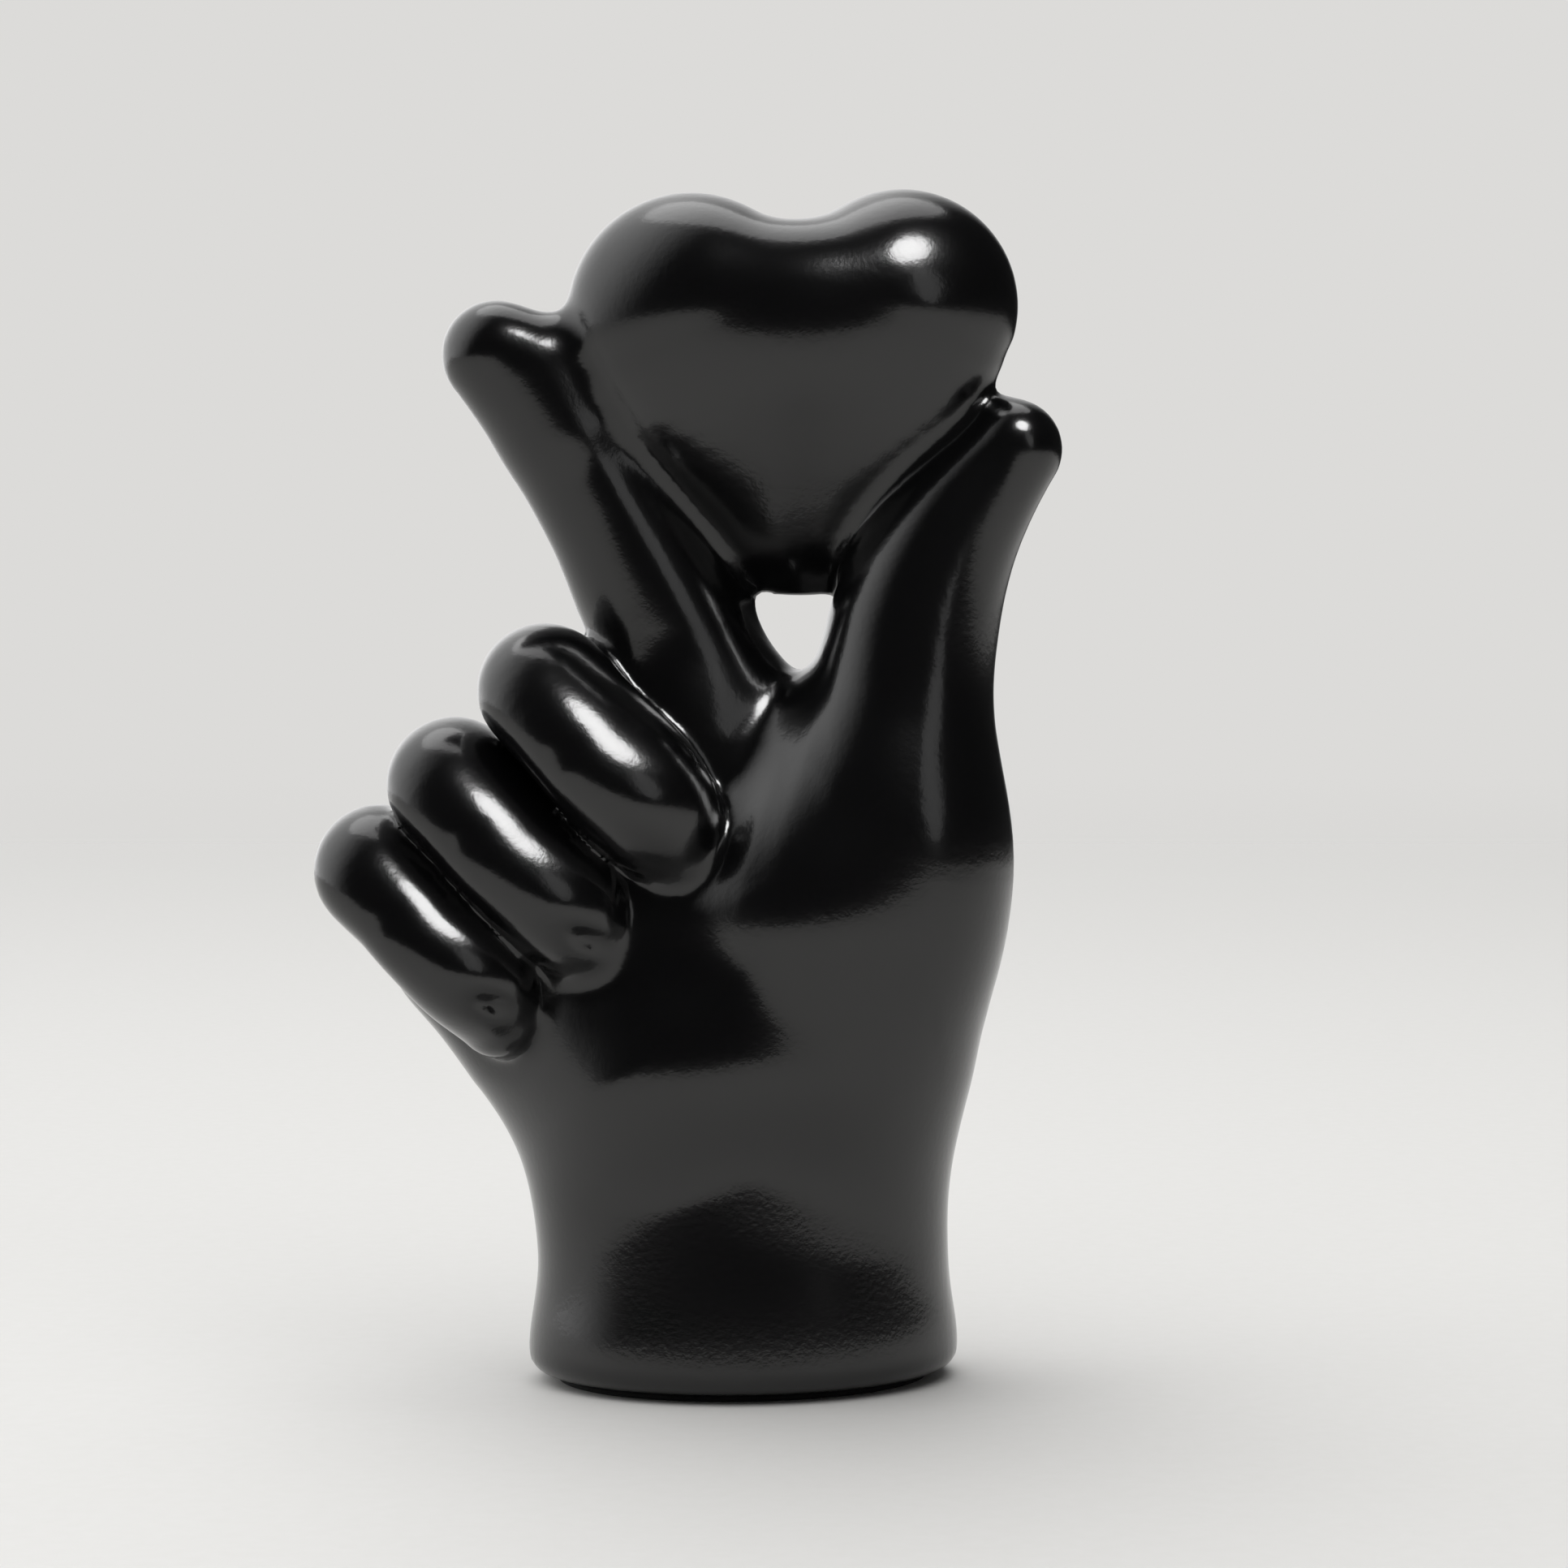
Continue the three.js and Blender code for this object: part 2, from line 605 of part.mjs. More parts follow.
/** The hollow, closed off below the mouth. */
function hollowField(x, y, z) {
  const side = palmForm(x, y, z) + SHELL_WALL;
  const top = z - CAVITY_TOP;
  const room = -smoothUnion(-side, -top, CAVITY_TOP_ROUNDING);
  return Math.max(room, -z - CAVITY_CELL);
}
const hollowBox = palmBox.clone();
hollowBox.min.z = -2 * CAVITY_CELL;
hollowBox.max.z = CAVITY_TOP + 2;
const layer = (bottom, top) => block(at(-REACH, -REACH, bottom), at(REACH, REACH, top));
const hollowSkin = skin(hollowField, hollowBox, CAVITY_CELL);
const hollowSolid = solid(hollowSkin).intersect(layer(plugTop, REACH));
const mouthSolid = plainSolid(ovalPlate(mouthHalfWidth, mouthHalfDepth, -1, plugTop + 1));

// Dowels: across the thumb's seam, the forefinger's root, and both fingertips into the heart
const PINS = {
  thumb_pin: { middle: lifted(24, -3, 0.5354), direction: at(0.34, 0, 0.94) },
  forefinger_pin: { middle: lifted(-7.6, 6.4, 0.5882), direction: at(-7.5, -1.5, 12.3) },
  heart_pin_forefinger: { middle: lifted(-23, 1.2, 0.9087), direction: at(21.3, -2, 15.2) },
  heart_pin_thumb: { middle: lifted(32, -1, 0.8252), direction: at(-0.79, 0.25, 0.61) },
};
const pinHoles = Object.values(PINS)
  .map(({ middle, direction }) =>
    plainSolid(dowel(middle, direction, PIN_RADIUS + BOND_GAP, PIN_LENGTH + 2 * BOND_GAP)),
  )
  .reduce((all, hole) => all.add(hole));

// Castings
const palmCasting = palm.whole
  .subtract(thumbSideSeat)
  .subtract(hollowSolid)
  .subtract(mouthSolid)
  .subtract(pinHoles);
const thumbCasting = palm.whole.intersect(thumbSide).subtract(heart.seat).subtract(pinHoles);
const heartCasting = heart.whole.subtract(pinHoles);
const forefingerCasting = forefinger.whole
  .subtract(palm.seat)
  .subtract(heart.seat)
  .subtract(pinHoles);
const middleCasting = middleFinger.whole.subtract(palm.seat).subtract(forefinger.seat);
const ringCasting = ringFinger.whole.subtract(palm.seat).subtract(middleFinger.seat);
const littleCasting = littleFinger.whole.subtract(palm.seat).subtract(ringFinger.seat);
const ballastBottom = plugTop + BOND_GAP;
const ballast = solid(swollen(hollowSkin, hollowField, -BALLAST_SHRINK)).intersect(
  layer(ballastBottom, ballastBottom + BALLAST_HEIGHT),
);

// Materials
const lacquer = new THREE.MeshStandardMaterial({ color: 0x0c0c0d, roughness: 0.18, metalness: 0 });
const bareResin = new THREE.MeshStandardMaterial({ color: 0x2a2a2b, roughness: 0.7, metalness: 0 });
const steel = new THREE.MeshStandardMaterial({ color: 0x9a9da0, roughness: 0.3, metalness: 1 });
const castIron = new THREE.MeshStandardMaterial({ color: 0x3c3c3e, roughness: 0.6, metalness: 1 });
const felt = new THREE.MeshStandardMaterial({ color: 0x151515, roughness: 0.95, metalness: 0 });

// Assembly
const sculpture = new THREE.Group();

function add(name, geometry, material) {
  const mesh = new THREE.Mesh(geometry, material);
  mesh.name = name;
  sculpture.add(mesh);
}

add("palm_and_wrist", geometryOf(palmCasting), lacquer);
add("thumb", geometryOf(thumbCasting), lacquer);
add("forefinger", geometryOf(forefingerCasting), lacquer);
add("middle_finger", geometryOf(middleCasting), lacquer);
add("ring_finger", geometryOf(ringCasting), lacquer);
add("little_finger", geometryOf(littleCasting), lacquer);
add("heart", geometryOf(heartCasting), lacquer);
for (const [name, { middle, direction }] of Object.entries(PINS))
  add(name, dowel(middle, direction, PIN_RADIUS, PIN_LENGTH), steel);
add("ballast", geometryOf(ballast), castIron);
add(
  "base_plug",
  ovalPlate(mouthHalfWidth - BOND_GAP, mouthHalfDepth - BOND_GAP, underside, plugTop, VENT_RADIUS),
  bareResin,
);
add(
  "foot_pad",
  ovalPlate(flatHalfWidth - PAD_INSET, flatHalfDepth - PAD_INSET, 0, PAD_THICKNESS),
  felt,
);

export default sculpture;
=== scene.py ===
"""Looks of a gloss black hand that holds a heart between its forefinger and its thumb.

The hand is modelled again on the armature of the CAD solids, finer and with what the sculptor's last pass
and the lacquer add: fillets where the castings meet, rounded creases between the curled fingers, wrinkles and
swellings on them, and dimples at their tips. Places on the armature are in millimetres and meshes are in
metres, in the part's own frame: +Z is up, the palm faces -Y, and the thumb is on the +X side.
"""

import logging
import math
from collections.abc import Callable, Sequence
from dataclasses import dataclass, field
from enum import Enum

import bpy
import numpy as np
from mathutils import Matrix, Vector


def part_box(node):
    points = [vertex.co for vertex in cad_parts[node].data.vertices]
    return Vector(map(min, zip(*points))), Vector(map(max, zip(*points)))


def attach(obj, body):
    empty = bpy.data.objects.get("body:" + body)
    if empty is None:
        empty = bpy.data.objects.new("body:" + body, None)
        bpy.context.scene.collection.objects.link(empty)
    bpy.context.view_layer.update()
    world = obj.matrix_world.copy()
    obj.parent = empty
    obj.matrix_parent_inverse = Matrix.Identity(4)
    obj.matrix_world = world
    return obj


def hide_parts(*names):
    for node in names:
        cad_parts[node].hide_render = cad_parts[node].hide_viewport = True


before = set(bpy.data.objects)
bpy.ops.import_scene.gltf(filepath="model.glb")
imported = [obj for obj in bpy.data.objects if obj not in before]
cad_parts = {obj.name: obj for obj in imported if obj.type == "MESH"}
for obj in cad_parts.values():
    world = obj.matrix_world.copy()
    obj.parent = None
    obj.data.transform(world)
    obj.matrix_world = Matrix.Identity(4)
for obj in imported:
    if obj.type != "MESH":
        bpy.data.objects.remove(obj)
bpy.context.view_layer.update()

log = logging.getLogger("hand_sculpture")

MM = 0.001
SKIN_CELL = 0.75  # fineness of the modelled skin, in mm
BODY = "root"
TINY = 1e-12  # keeps a vector without length from dividing by zero

Field = Callable[[np.ndarray], np.ndarray]


# Armature

WRIST_HEIGHT = 34.0
HAND_RISE = 127.0  # from the top of the upright wrist to the middle of the heart


@dataclass(frozen=True)
class Joint:
    """A joint of a limb: its place in mm and the radius of flesh on it."""

    place: tuple[float, float, float]
    radius: float


def lifted(x: float, y: float, share: float) -> tuple[float, float, float]:
    """A place whose height above the wrist is a share of the hand's rise."""
    return (x, y, WRIST_HEIGHT + share * HAND_RISE)


def smooth_union(a: np.ndarray, b: np.ndarray, blend: float) -> np.ndarray:
    """Joins two fields with a fillet about `blend` mm wide."""
    h = np.maximum(blend - np.abs(a - b), 0) / blend
    return np.minimum(a, b) - h * h * blend / 4


class Limb:
    """Flesh on a row of joints, along a smooth curve through them."""

    CULL = 14.0  # beyond this distance in mm only the distance to the limb's box is used
    LEAST_STEP = 1e-4  # keeps two joints in one place from dividing by zero

    def __init__(self, joints: Sequence[Joint], steps: int) -> None:
        """Lays beads along the joints.

        Args:
            joints: The joints in order.
            steps: How many beads lie between two joints.
        """
        places = np.array([j.place for j in joints], float)
        radii = np.array([j.radius for j in joints], float)
        shares = np.linspace(0, len(joints) - 1, (len(joints) - 1) * steps + 1)
        self.places = np.array([self._place(places, s) for s in shares])
        self.radii = np.array([self._radius(radii, s) for s in shares])
        self.low = (self.places - self.radii[:, None]).min(0)
        self.high = (self.places + self.radii[:, None]).max(0)

    @staticmethod
    def _span(count: int, share: float) -> tuple[int, float]:
        """The span that a share of the way lies in, and the share inside it."""
        first = min(int(share), count - 2)
        return first, share - first

    @staticmethod
    def _place(places: np.ndarray, share: float) -> np.ndarray:
        """A point of the centripetal Catmull-Rom curve through the joints.

        Args:
            places: The joints' places.
            share: How far along, counted in joints.

        Returns:
            The point.
        """
        count = len(places)
        i, w = Limb._span(count, share)
        p1, p2 = places[i], places[i + 1]
        p0 = places[i - 1] if i > 0 else 2 * p1 - p2
        p3 = places[i + 2] if i + 2 < count else 2 * p2 - p1
        pairs = ((p0, p1), (p1, p2), (p2, p3))
        d0, d1, d2 = (max(np.sqrt(np.linalg.norm(b - a)), Limb.LEAST_STEP) for a, b in pairs)
        t1 = ((p1 - p0) / d0 - (p2 - p0) / (d0 + d1) + (p2 - p1) / d1) * d1
        t2 = ((p2 - p1) / d1 - (p3 - p1) / (d1 + d2) + (p3 - p2) / d2) * d1
        square = -3 * p1 + 3 * p2 - 2 * t1 - t2
        cube = 2 * p1 - 2 * p2 + t1 + t2
        return p1 + w * (t1 + w * (square + w * cube))

    @staticmethod
    def _radius(radii: np.ndarray, share: float) -> float:
        """The flesh at a share of the way, on an even Catmull-Rom curve.

        Args:
            radii: The joints' radii.
            share: How far along, counted in joints.

        Returns:
            The radius.
        """
        i, w = Limb._span(len(radii), share)
        r0, r1, r2, r3 = (radii[min(max(n, 0), len(radii) - 1)] for n in (i - 1, i, i + 1, i + 2))
        v0, v1 = (r2 - r0) / 2, (r3 - r1) / 2
        return r1 + w * (v0 + w * (-3 * r1 + 3 * r2 - 2 * v0 - v1 + w * (2 * r1 - 2 * r2 + v0 + v1)))

    def __call__(self, points: np.ndarray) -> np.ndarray:
        """Distance to the limb's surface, below zero inside.

        Args:
            points: Where it is asked for.

        Returns:
            The distances, which far from the limb are those to its box.
        """
        beyond = np.maximum(np.maximum(self.low - points, points - self.high), 0)
        distance = np.sqrt(np.einsum("ij,ij->i", beyond, beyond))
        near = distance < self.CULL
        distance[near] = self._exact(points[near])
        return distance

    def _exact(self, points: np.ndarray) -> np.ndarray:
        """Distance to the nearest of the cones between the beads.

        Args:
            points: Where it is asked for.

        Returns:
            The distances.
        """
        nearest = np.full(len(points), np.inf)
        for i in range(len(self.places) - 1):
            start, radius = self.places[i], self.radii[i]
            step = self.places[i + 1] - start
            length2 = step @ step
            offset = points - start
            along = offset @ step
            t = np.clip(along / length2, 0, 1)
            far2 = np.einsum("ij,ij->i", offset, offset) - t * (2 * along - t * length2)
            far = np.sqrt(np.maximum(far2, 0))
            np.minimum(nearest, far - radius - t * (self.radii[i + 1] - radius), out=nearest)
        return nearest


def limb(*joints: tuple[tuple[float, float, float], float], steps: int = 12) -> Limb:
    """A limb from pairs of place and radius."""
    return Limb([Joint(place, radius) for place, radius in joints], steps)


@dataclass(frozen=True)
class Press:
    """A mark in the clay: a hollow, or a swelling where its depth is below zero.

    Its long axis and its second axis lie in the surface, and the third goes into it.
    """

    place: tuple[float, float, float]
    long_axis: tuple[float, float, float]
    half_sizes: tuple[float, float, float]
    depth: float

    OUT = np.array([0.0, -1.0, 0.0])  # every mark is made from the palm's side

    def __call__(self, points: np.ndarray) -> np.ndarray:
        """How far the surface sinks.

        Args:
            points: Where it is asked for.

        Returns:
            The depths in mm.
        """
        along = np.array(self.long_axis) - self.OUT * (np.array(self.long_axis) @ self.OUT)
        along /= np.linalg.norm(along)
        axes = np.array([along, np.cross(self.OUT, along), self.OUT]) / np.array(self.half_sizes)[:, None]
        local = (points - np.array(self.place)) @ axes.T
        return self.depth * np.exp(-np.einsum("ij,ij->i", local, local))


# The forms


@dataclass(frozen=True)
class Palm:
    """Wrist, palm and thumb in one flowing form that stands on a rounded foot."""

    blend: float = 11.0
    foot_half_width: float = 32.8
    foot_half_depth: float = 25.4
    foot_rounding: float = 3.0
    widest_height: float = 5.0
    flare_height: float = 8.0
    depth_flare_height: float = 27.0
    wrist_half_width: float = 31.3
    wrist_half_depth: float = 20.4
    column_height: float = 44.0
    wrist_dome: float = 22.0
    wrist_turn: float = math.radians(8)
    underside: float = 1.2  # its height, over the felt and the bond that holds it
    carpus_radius: float = 16.0
    seam_point: tuple[float, float, float] = lifted(8.3, 0, 0.5811)
    seam_slope: float = math.radians(20)
    flesh: tuple[Limb, ...] = field(default=(), repr=False)

    KNUCKLES = {
        "little": (lifted(-46.2, 9.5, 0.2992), 10.8),
        "ring": (lifted(-34.6, 11.5, 0.4039), 11.2),
        "middle": (lifted(-21.4, 12, 0.5), 11.5),
        "forefinger": (lifted(-3.0, 8, 0.5039), 11.8),
    }
    CARPUS = {
        "little": lifted(-13.9, 3, 0.0157),
        "ring": lifted(-7.5, 3, 0.0315),
        "middle": lifted(-0.5, 3, 0.0472),
        "forefinger": lifted(6.5, 3, 0.063),
    }
    LEAST_SLOPE = 1e-6  # keeps the middle of the wrist from dividing by zero

    @classmethod
    def modelled(cls) -> "Palm":
        """The palm with its flesh on the armature.

        Returns:
            The palm.
        """
        metacarpals = [
            limb((cls.CARPUS[name], cls.carpus_radius), knuckle, steps=1)
            for name, knuckle in cls.KNUCKLES.items()
        ]
        pads = limb(
            (lifted(-43, 1, 0.2441), 9.0),
            (lifted(-24, 0, 0.3937), 11.0),
            (lifted(-8, 0.5, 0.4567), 9.5),
        )
        heel = limb((lifted(-22, 1, 0.063), 6.0), (lifted(-30.2, 2, 0.1496), 9.8), steps=1)
        web = (
            limb((lifted(19, 0, 0.4803), 10.5), (lifted(5, 5, 0.4646), 7.5), steps=1),
            limb((lifted(16, -4, 0.4016), 12.5), (lifted(5, 3, 0.4016), 9.0), steps=1),
            limb((lifted(9, -5, 0.3228), 13.5), (lifted(0, 0, 0.3228), 10.0), steps=1),
        )
        thenar = limb((lifted(5.5, -5, 0.1496), 15.5), (lifted(8, -6.5, 0.2756), 15.5), steps=1)
        hypothenar = limb((lifted(-12, -5.5, 0.122), 16.0), (lifted(-21, -3, 0.2205), 13.0), steps=1)
        hollow = limb((lifted(-14, -2.5, 0.2992), 11.5), (lifted(-3.5, -2.5, 0.3071), 11.0), steps=1)
        crotch = limb((lifted(-17.5, 3, 0.5472), 7.5), (lifted(-11, 2, 0.5433), 8.0), steps=1)
        thumb = limb(
            (lifted(6, 1, -0.0157), 15.5),
            (lifted(15.8, 0, 0.1654), 19.4),
            (lifted(22.8, -4, 0.3386), 18.0),
            (lifted(24.2, -3, 0.5197), 13.7),
            (lifted(26.0, -1.5, 0.6417), 12.8),
            (lifted(31.2, -1.5, 0.7425), 10.6),
            (lifted(40.4, -2.5, 0.8409), 7.6),
        )
        return cls(flesh=(*metacarpals, pads, heel, thumb, *web, thenar, hypothenar, hollow, crotch))

    def wrist(self, points: np.ndarray) -> np.ndarray:
        """The upright oval wrist, flared at the foot and domed at the top.

        Args:
            points: Where it is asked for.

        Returns:
            About the distance to its surface.
        """
        x, y, z = points.T
        flare = np.exp(-(((z - self.widest_height) / self.flare_height) ** 2))
        a = self.wrist_half_width + (self.foot_half_width - self.wrist_half_width) * flare
        deepening = np.exp(-((z / self.depth_flare_height) ** 2))
        b = self.wrist_half_depth + (self.foot_half_depth - self.wrist_half_depth) * deepening
        up = np.maximum(0, z - self.column_height)
        u = x * math.cos(self.wrist_turn) + y * math.sin(self.wrist_turn)
        v = y * math.cos(self.wrist_turn) - x * math.sin(self.wrist_turn)
        outward = np.sqrt((u / a) ** 2 + (v / b) ** 2 + (up / self.wrist_dome) ** 2)
        slope = np.sqrt((u / a**2) ** 2 + (v / b**2) ** 2 + (up / self.wrist_dome**2) ** 2)
        return outward * (outward - 1) / np.maximum(slope, self.LEAST_SLOPE)

    def __call__(self, points: np.ndarray) -> np.ndarray:
        """Distance to the form, whose underside is flat and rounded off all round.

        Args:
            points: Where it is asked for.

        Returns:
            The distances, below zero inside.
        """
        form = self.wrist(points)
        for part in self.flesh:
            form = smooth_union(form, part(points), self.blend)
        side = form + self.foot_rounding
        under = self.underside - points[:, 2] + self.foot_rounding
        outside = np.hypot(np.maximum(side, 0), np.maximum(under, 0))
        return outside - self.foot_rounding + np.minimum(np.maximum(side, under), 0)

    def on_thumb(self, points: np.ndarray) -> np.ndarray:
        """Which points lie beyond the seam between palm and thumb."""
        normal = np.array([math.sin(self.seam_slope), 0, math.cos(self.seam_slope)])
        return (points - np.array(self.seam_point)) @ normal > 0


class Forefinger:
    """The straight finger and the pad that is pressed flat on the heart."""

    PAD_BLEND = 4.0

    def __init__(self) -> None:
        """Lays the finger and its pad on the armature."""
        self.finger = limb(
            (lifted(-3.4, 7, 0.5118), 11.6),
            (lifted(-6.5, 6, 0.5551), 12.0),
            (lifted(-12.8, 4.5, 0.6457), 11.5),
            (lifted(-20.4, 3, 0.7606), 9.9),
            (lifted(-29.4, 2, 0.8795), 9.5),
            (lifted(-37.3, 0, 0.9528), 8.2),
        )
        self.pad = limb((lifted(-27.5, 1, 0.8661), 8.0), (lifted(-30.2, 0, 0.9386), 7.3), steps=1)

    def __call__(self, points: np.ndarray) -> np.ndarray:
        """Distance to the finger."""
        return smooth_union(self.finger(points), self.pad(points), self.PAD_BLEND)


class Heart:
    """Two lobes and a full middle that taper to one broad tip."""

    CENTRE = lifted(8.5, 0, 1.0)
    THICKNESS = 0.74  # front to back, as a share of what its round swells have
    TIP_THINNING = 0.6  # how much thinner it is at the tip
    THINS_FROM = -8.0  # the height over its centre from which it thins downwards
    THINS_OVER = 33.0  # over how many mm of height it does
    TIP_BACK = 8.0  # how far the tip lies behind the lobes
    BLEND = 9.0

    def __init__(self) -> None:
        """Lays the lobes, the middle and the tip."""
        self.swells = [
            limb(((-16.4, 0, -0.4), 18.7), ((-6.0, 0, -32.2), 8.8)),
            limb(((15.4, 0, 1.3), 17.5), ((6.0, 0, -32.2), 8.8)),
        ]
        for side in (-1, 1):
            self.swells += [
                limb(((-13, 10.5 * side, 2.3), 8.5), ((13, 10.5 * side, 2.8), 8.5)),
                limb(((0, 5.0 * side, -6.0), 13.5), ((0, 3.5 * side, -17.0), 11.5), ((0, 0, -29.0), 7.5)),
            ]

    def __call__(self, points: np.ndarray) -> np.ndarray:
        """Distance to the heart.

        Args:
            points: Where it is asked for.

        Returns:
            The distances, below zero inside.
        """
        local = points - np.array(self.CENTRE)
        down = np.clip((self.THINS_FROM - local[:, 2]) / self.THINS_OVER, 0, 1)
        down = down * down
        share = self.THICKNESS * (1 - self.TIP_THINNING * down)
        local[:, 1] = (local[:, 1] - self.TIP_BACK * down) / share
        form = self.swells[0](local)
        for swell in self.swells[1:]:
            form = smooth_union(form, swell(local), self.BLEND)
        return form * share


class Roll:
    """A curled finger that lies across the palm, from its bent joint down to its tip."""

    TILT = math.radians(48.5)  # how steeply it runs down to its tip
    BELLY_AT = 0.66  # the share of its length at which it is fullest
    BELLY_RISE = 5.0  # how far the belly stands out in front of the joint
    BELLY_SHIFT = 0.8  # towards the next finger up
    TIP_RISE = 0.5
    ROOT_RADIUS = 9.6
    FILL_RADIUS = 8.0
    FILL_BLEND = 4.0
    WRINKLE_SHIFT = 4.0  # away from the next finger up, as the swelling's is
    WRINKLE_SIZES = (4.0, 1.8, 6.0)
    WRINKLE_DEPTH = 0.25
    SWELLING_AT = 0.62  # the share of its length at which the flesh bulges
    SWELLING_SHIFT = 1.5
    SWELLING_RISE = 1.0
    SWELLING_SIZES = (4.5, 8.0, 8.0)
    SWELLING_DEPTH = -0.6
    LEAN = 0.35  # how much farther back each millimetre towards the next finger up lies
    LEAN_FADES = 0.4  # the share of the way to the tip from which the lean fades
    EVENING = 0.9  # keeps the leaning field from overstating distances
    DOWN = np.array([math.cos(TILT), 0, -math.sin(TILT)])
    ACROSS = np.array([math.sin(TILT), 0, math.cos(TILT)])

    def __init__(
        self,
        name: str,
        joint: tuple[float, float, float],
        radii: tuple[float, float, float],
        length: float,
    ) -> None:
        """Lays the finger and the flesh that closes its curl.

        Args:
            name: The finger's name, as its knuckle has it.
            joint: Where its bent joint is.
            radii: Flesh at the joint, the belly and the tip.
            length: From the joint to the tip.
        """
        knuckle = np.array(Palm.KNUCKLES[name][0])
        self.joint = np.array(joint)
        self.length = length
        rise = np.array([0, -self.BELLY_RISE, 0])
        belly = self.joint + self.DOWN * length * self.BELLY_AT + self.ACROSS * self.BELLY_SHIFT + rise
        tip = self.joint + self.DOWN * length + np.array([0, -self.TIP_RISE, 0])
        self.finger = limb(
            (tuple(knuckle), self.ROOT_RADIUS),
            (tuple(self.joint), radii[0]),
            (tuple(belly), radii[1]),
            (tuple(tip), radii[2]),
        )
        self.front = radii[0] + self.BELLY_RISE / 2
        middle = tuple((knuckle + tip) / 2)
        self.fill = limb((tuple(self.joint), self.FILL_RADIUS), (middle, self.FILL_RADIUS), steps=1)

    def wrinkle(self, along: float) -> Press:
        """The fold across the finger where its last joint bends.

        Args:
            along: How far from the bent joint it lies, in mm.

        Returns:
            The mark.
        """
        place = self.joint + self.DOWN * along - self.ACROSS * self.WRINKLE_SHIFT
        place -= np.array([0, self.front, 0])
        return Press(tuple(place), tuple(self.ACROSS), self.WRINKLE_SIZES, self.WRINKLE_DEPTH)

    def swelling(self) -> Press:
        """The flesh that bulges between the finger's last two joints.

        Returns:
            The mark.
        """
        place = self.joint + self.DOWN * self.length * self.SWELLING_AT - self.ACROSS * self.SWELLING_SHIFT
        place -= np.array([0, self.front + self.SWELLING_RISE, 0])
        return Press(tuple(place), tuple(self.ACROSS), self.SWELLING_SIZES, self.SWELLING_DEPTH)

    def __call__(self, points: np.ndarray) -> np.ndarray:
        """Distance to the finger, whose front leans back towards the next finger up.

        Args:
            points: Where it is asked for.

        Returns:
            The distances, below zero inside.
        """
        offset = points - self.joint
        fading = np.clip((1 - offset @ self.DOWN / self.length) / (1 - self.LEAN_FADES), 0, 1)
        leaning = points.copy()
        leaning[:, 1] -= self.LEAN * fading * (offset @ self.ACROSS)
        return smooth_union(self.finger(leaning), self.fill(leaning), self.FILL_BLEND) * self.EVENING


class Casting(Enum):
    """The lacquered castings, by the name of their CAD node."""

    PALM = "palm_and_wrist"
    THUMB = "thumb"
    FOREFINGER = "forefinger"
    MIDDLE = "middle_finger"
    RING = "ring_finger"
    LITTLE = "little_finger"
    HEART = "heart"


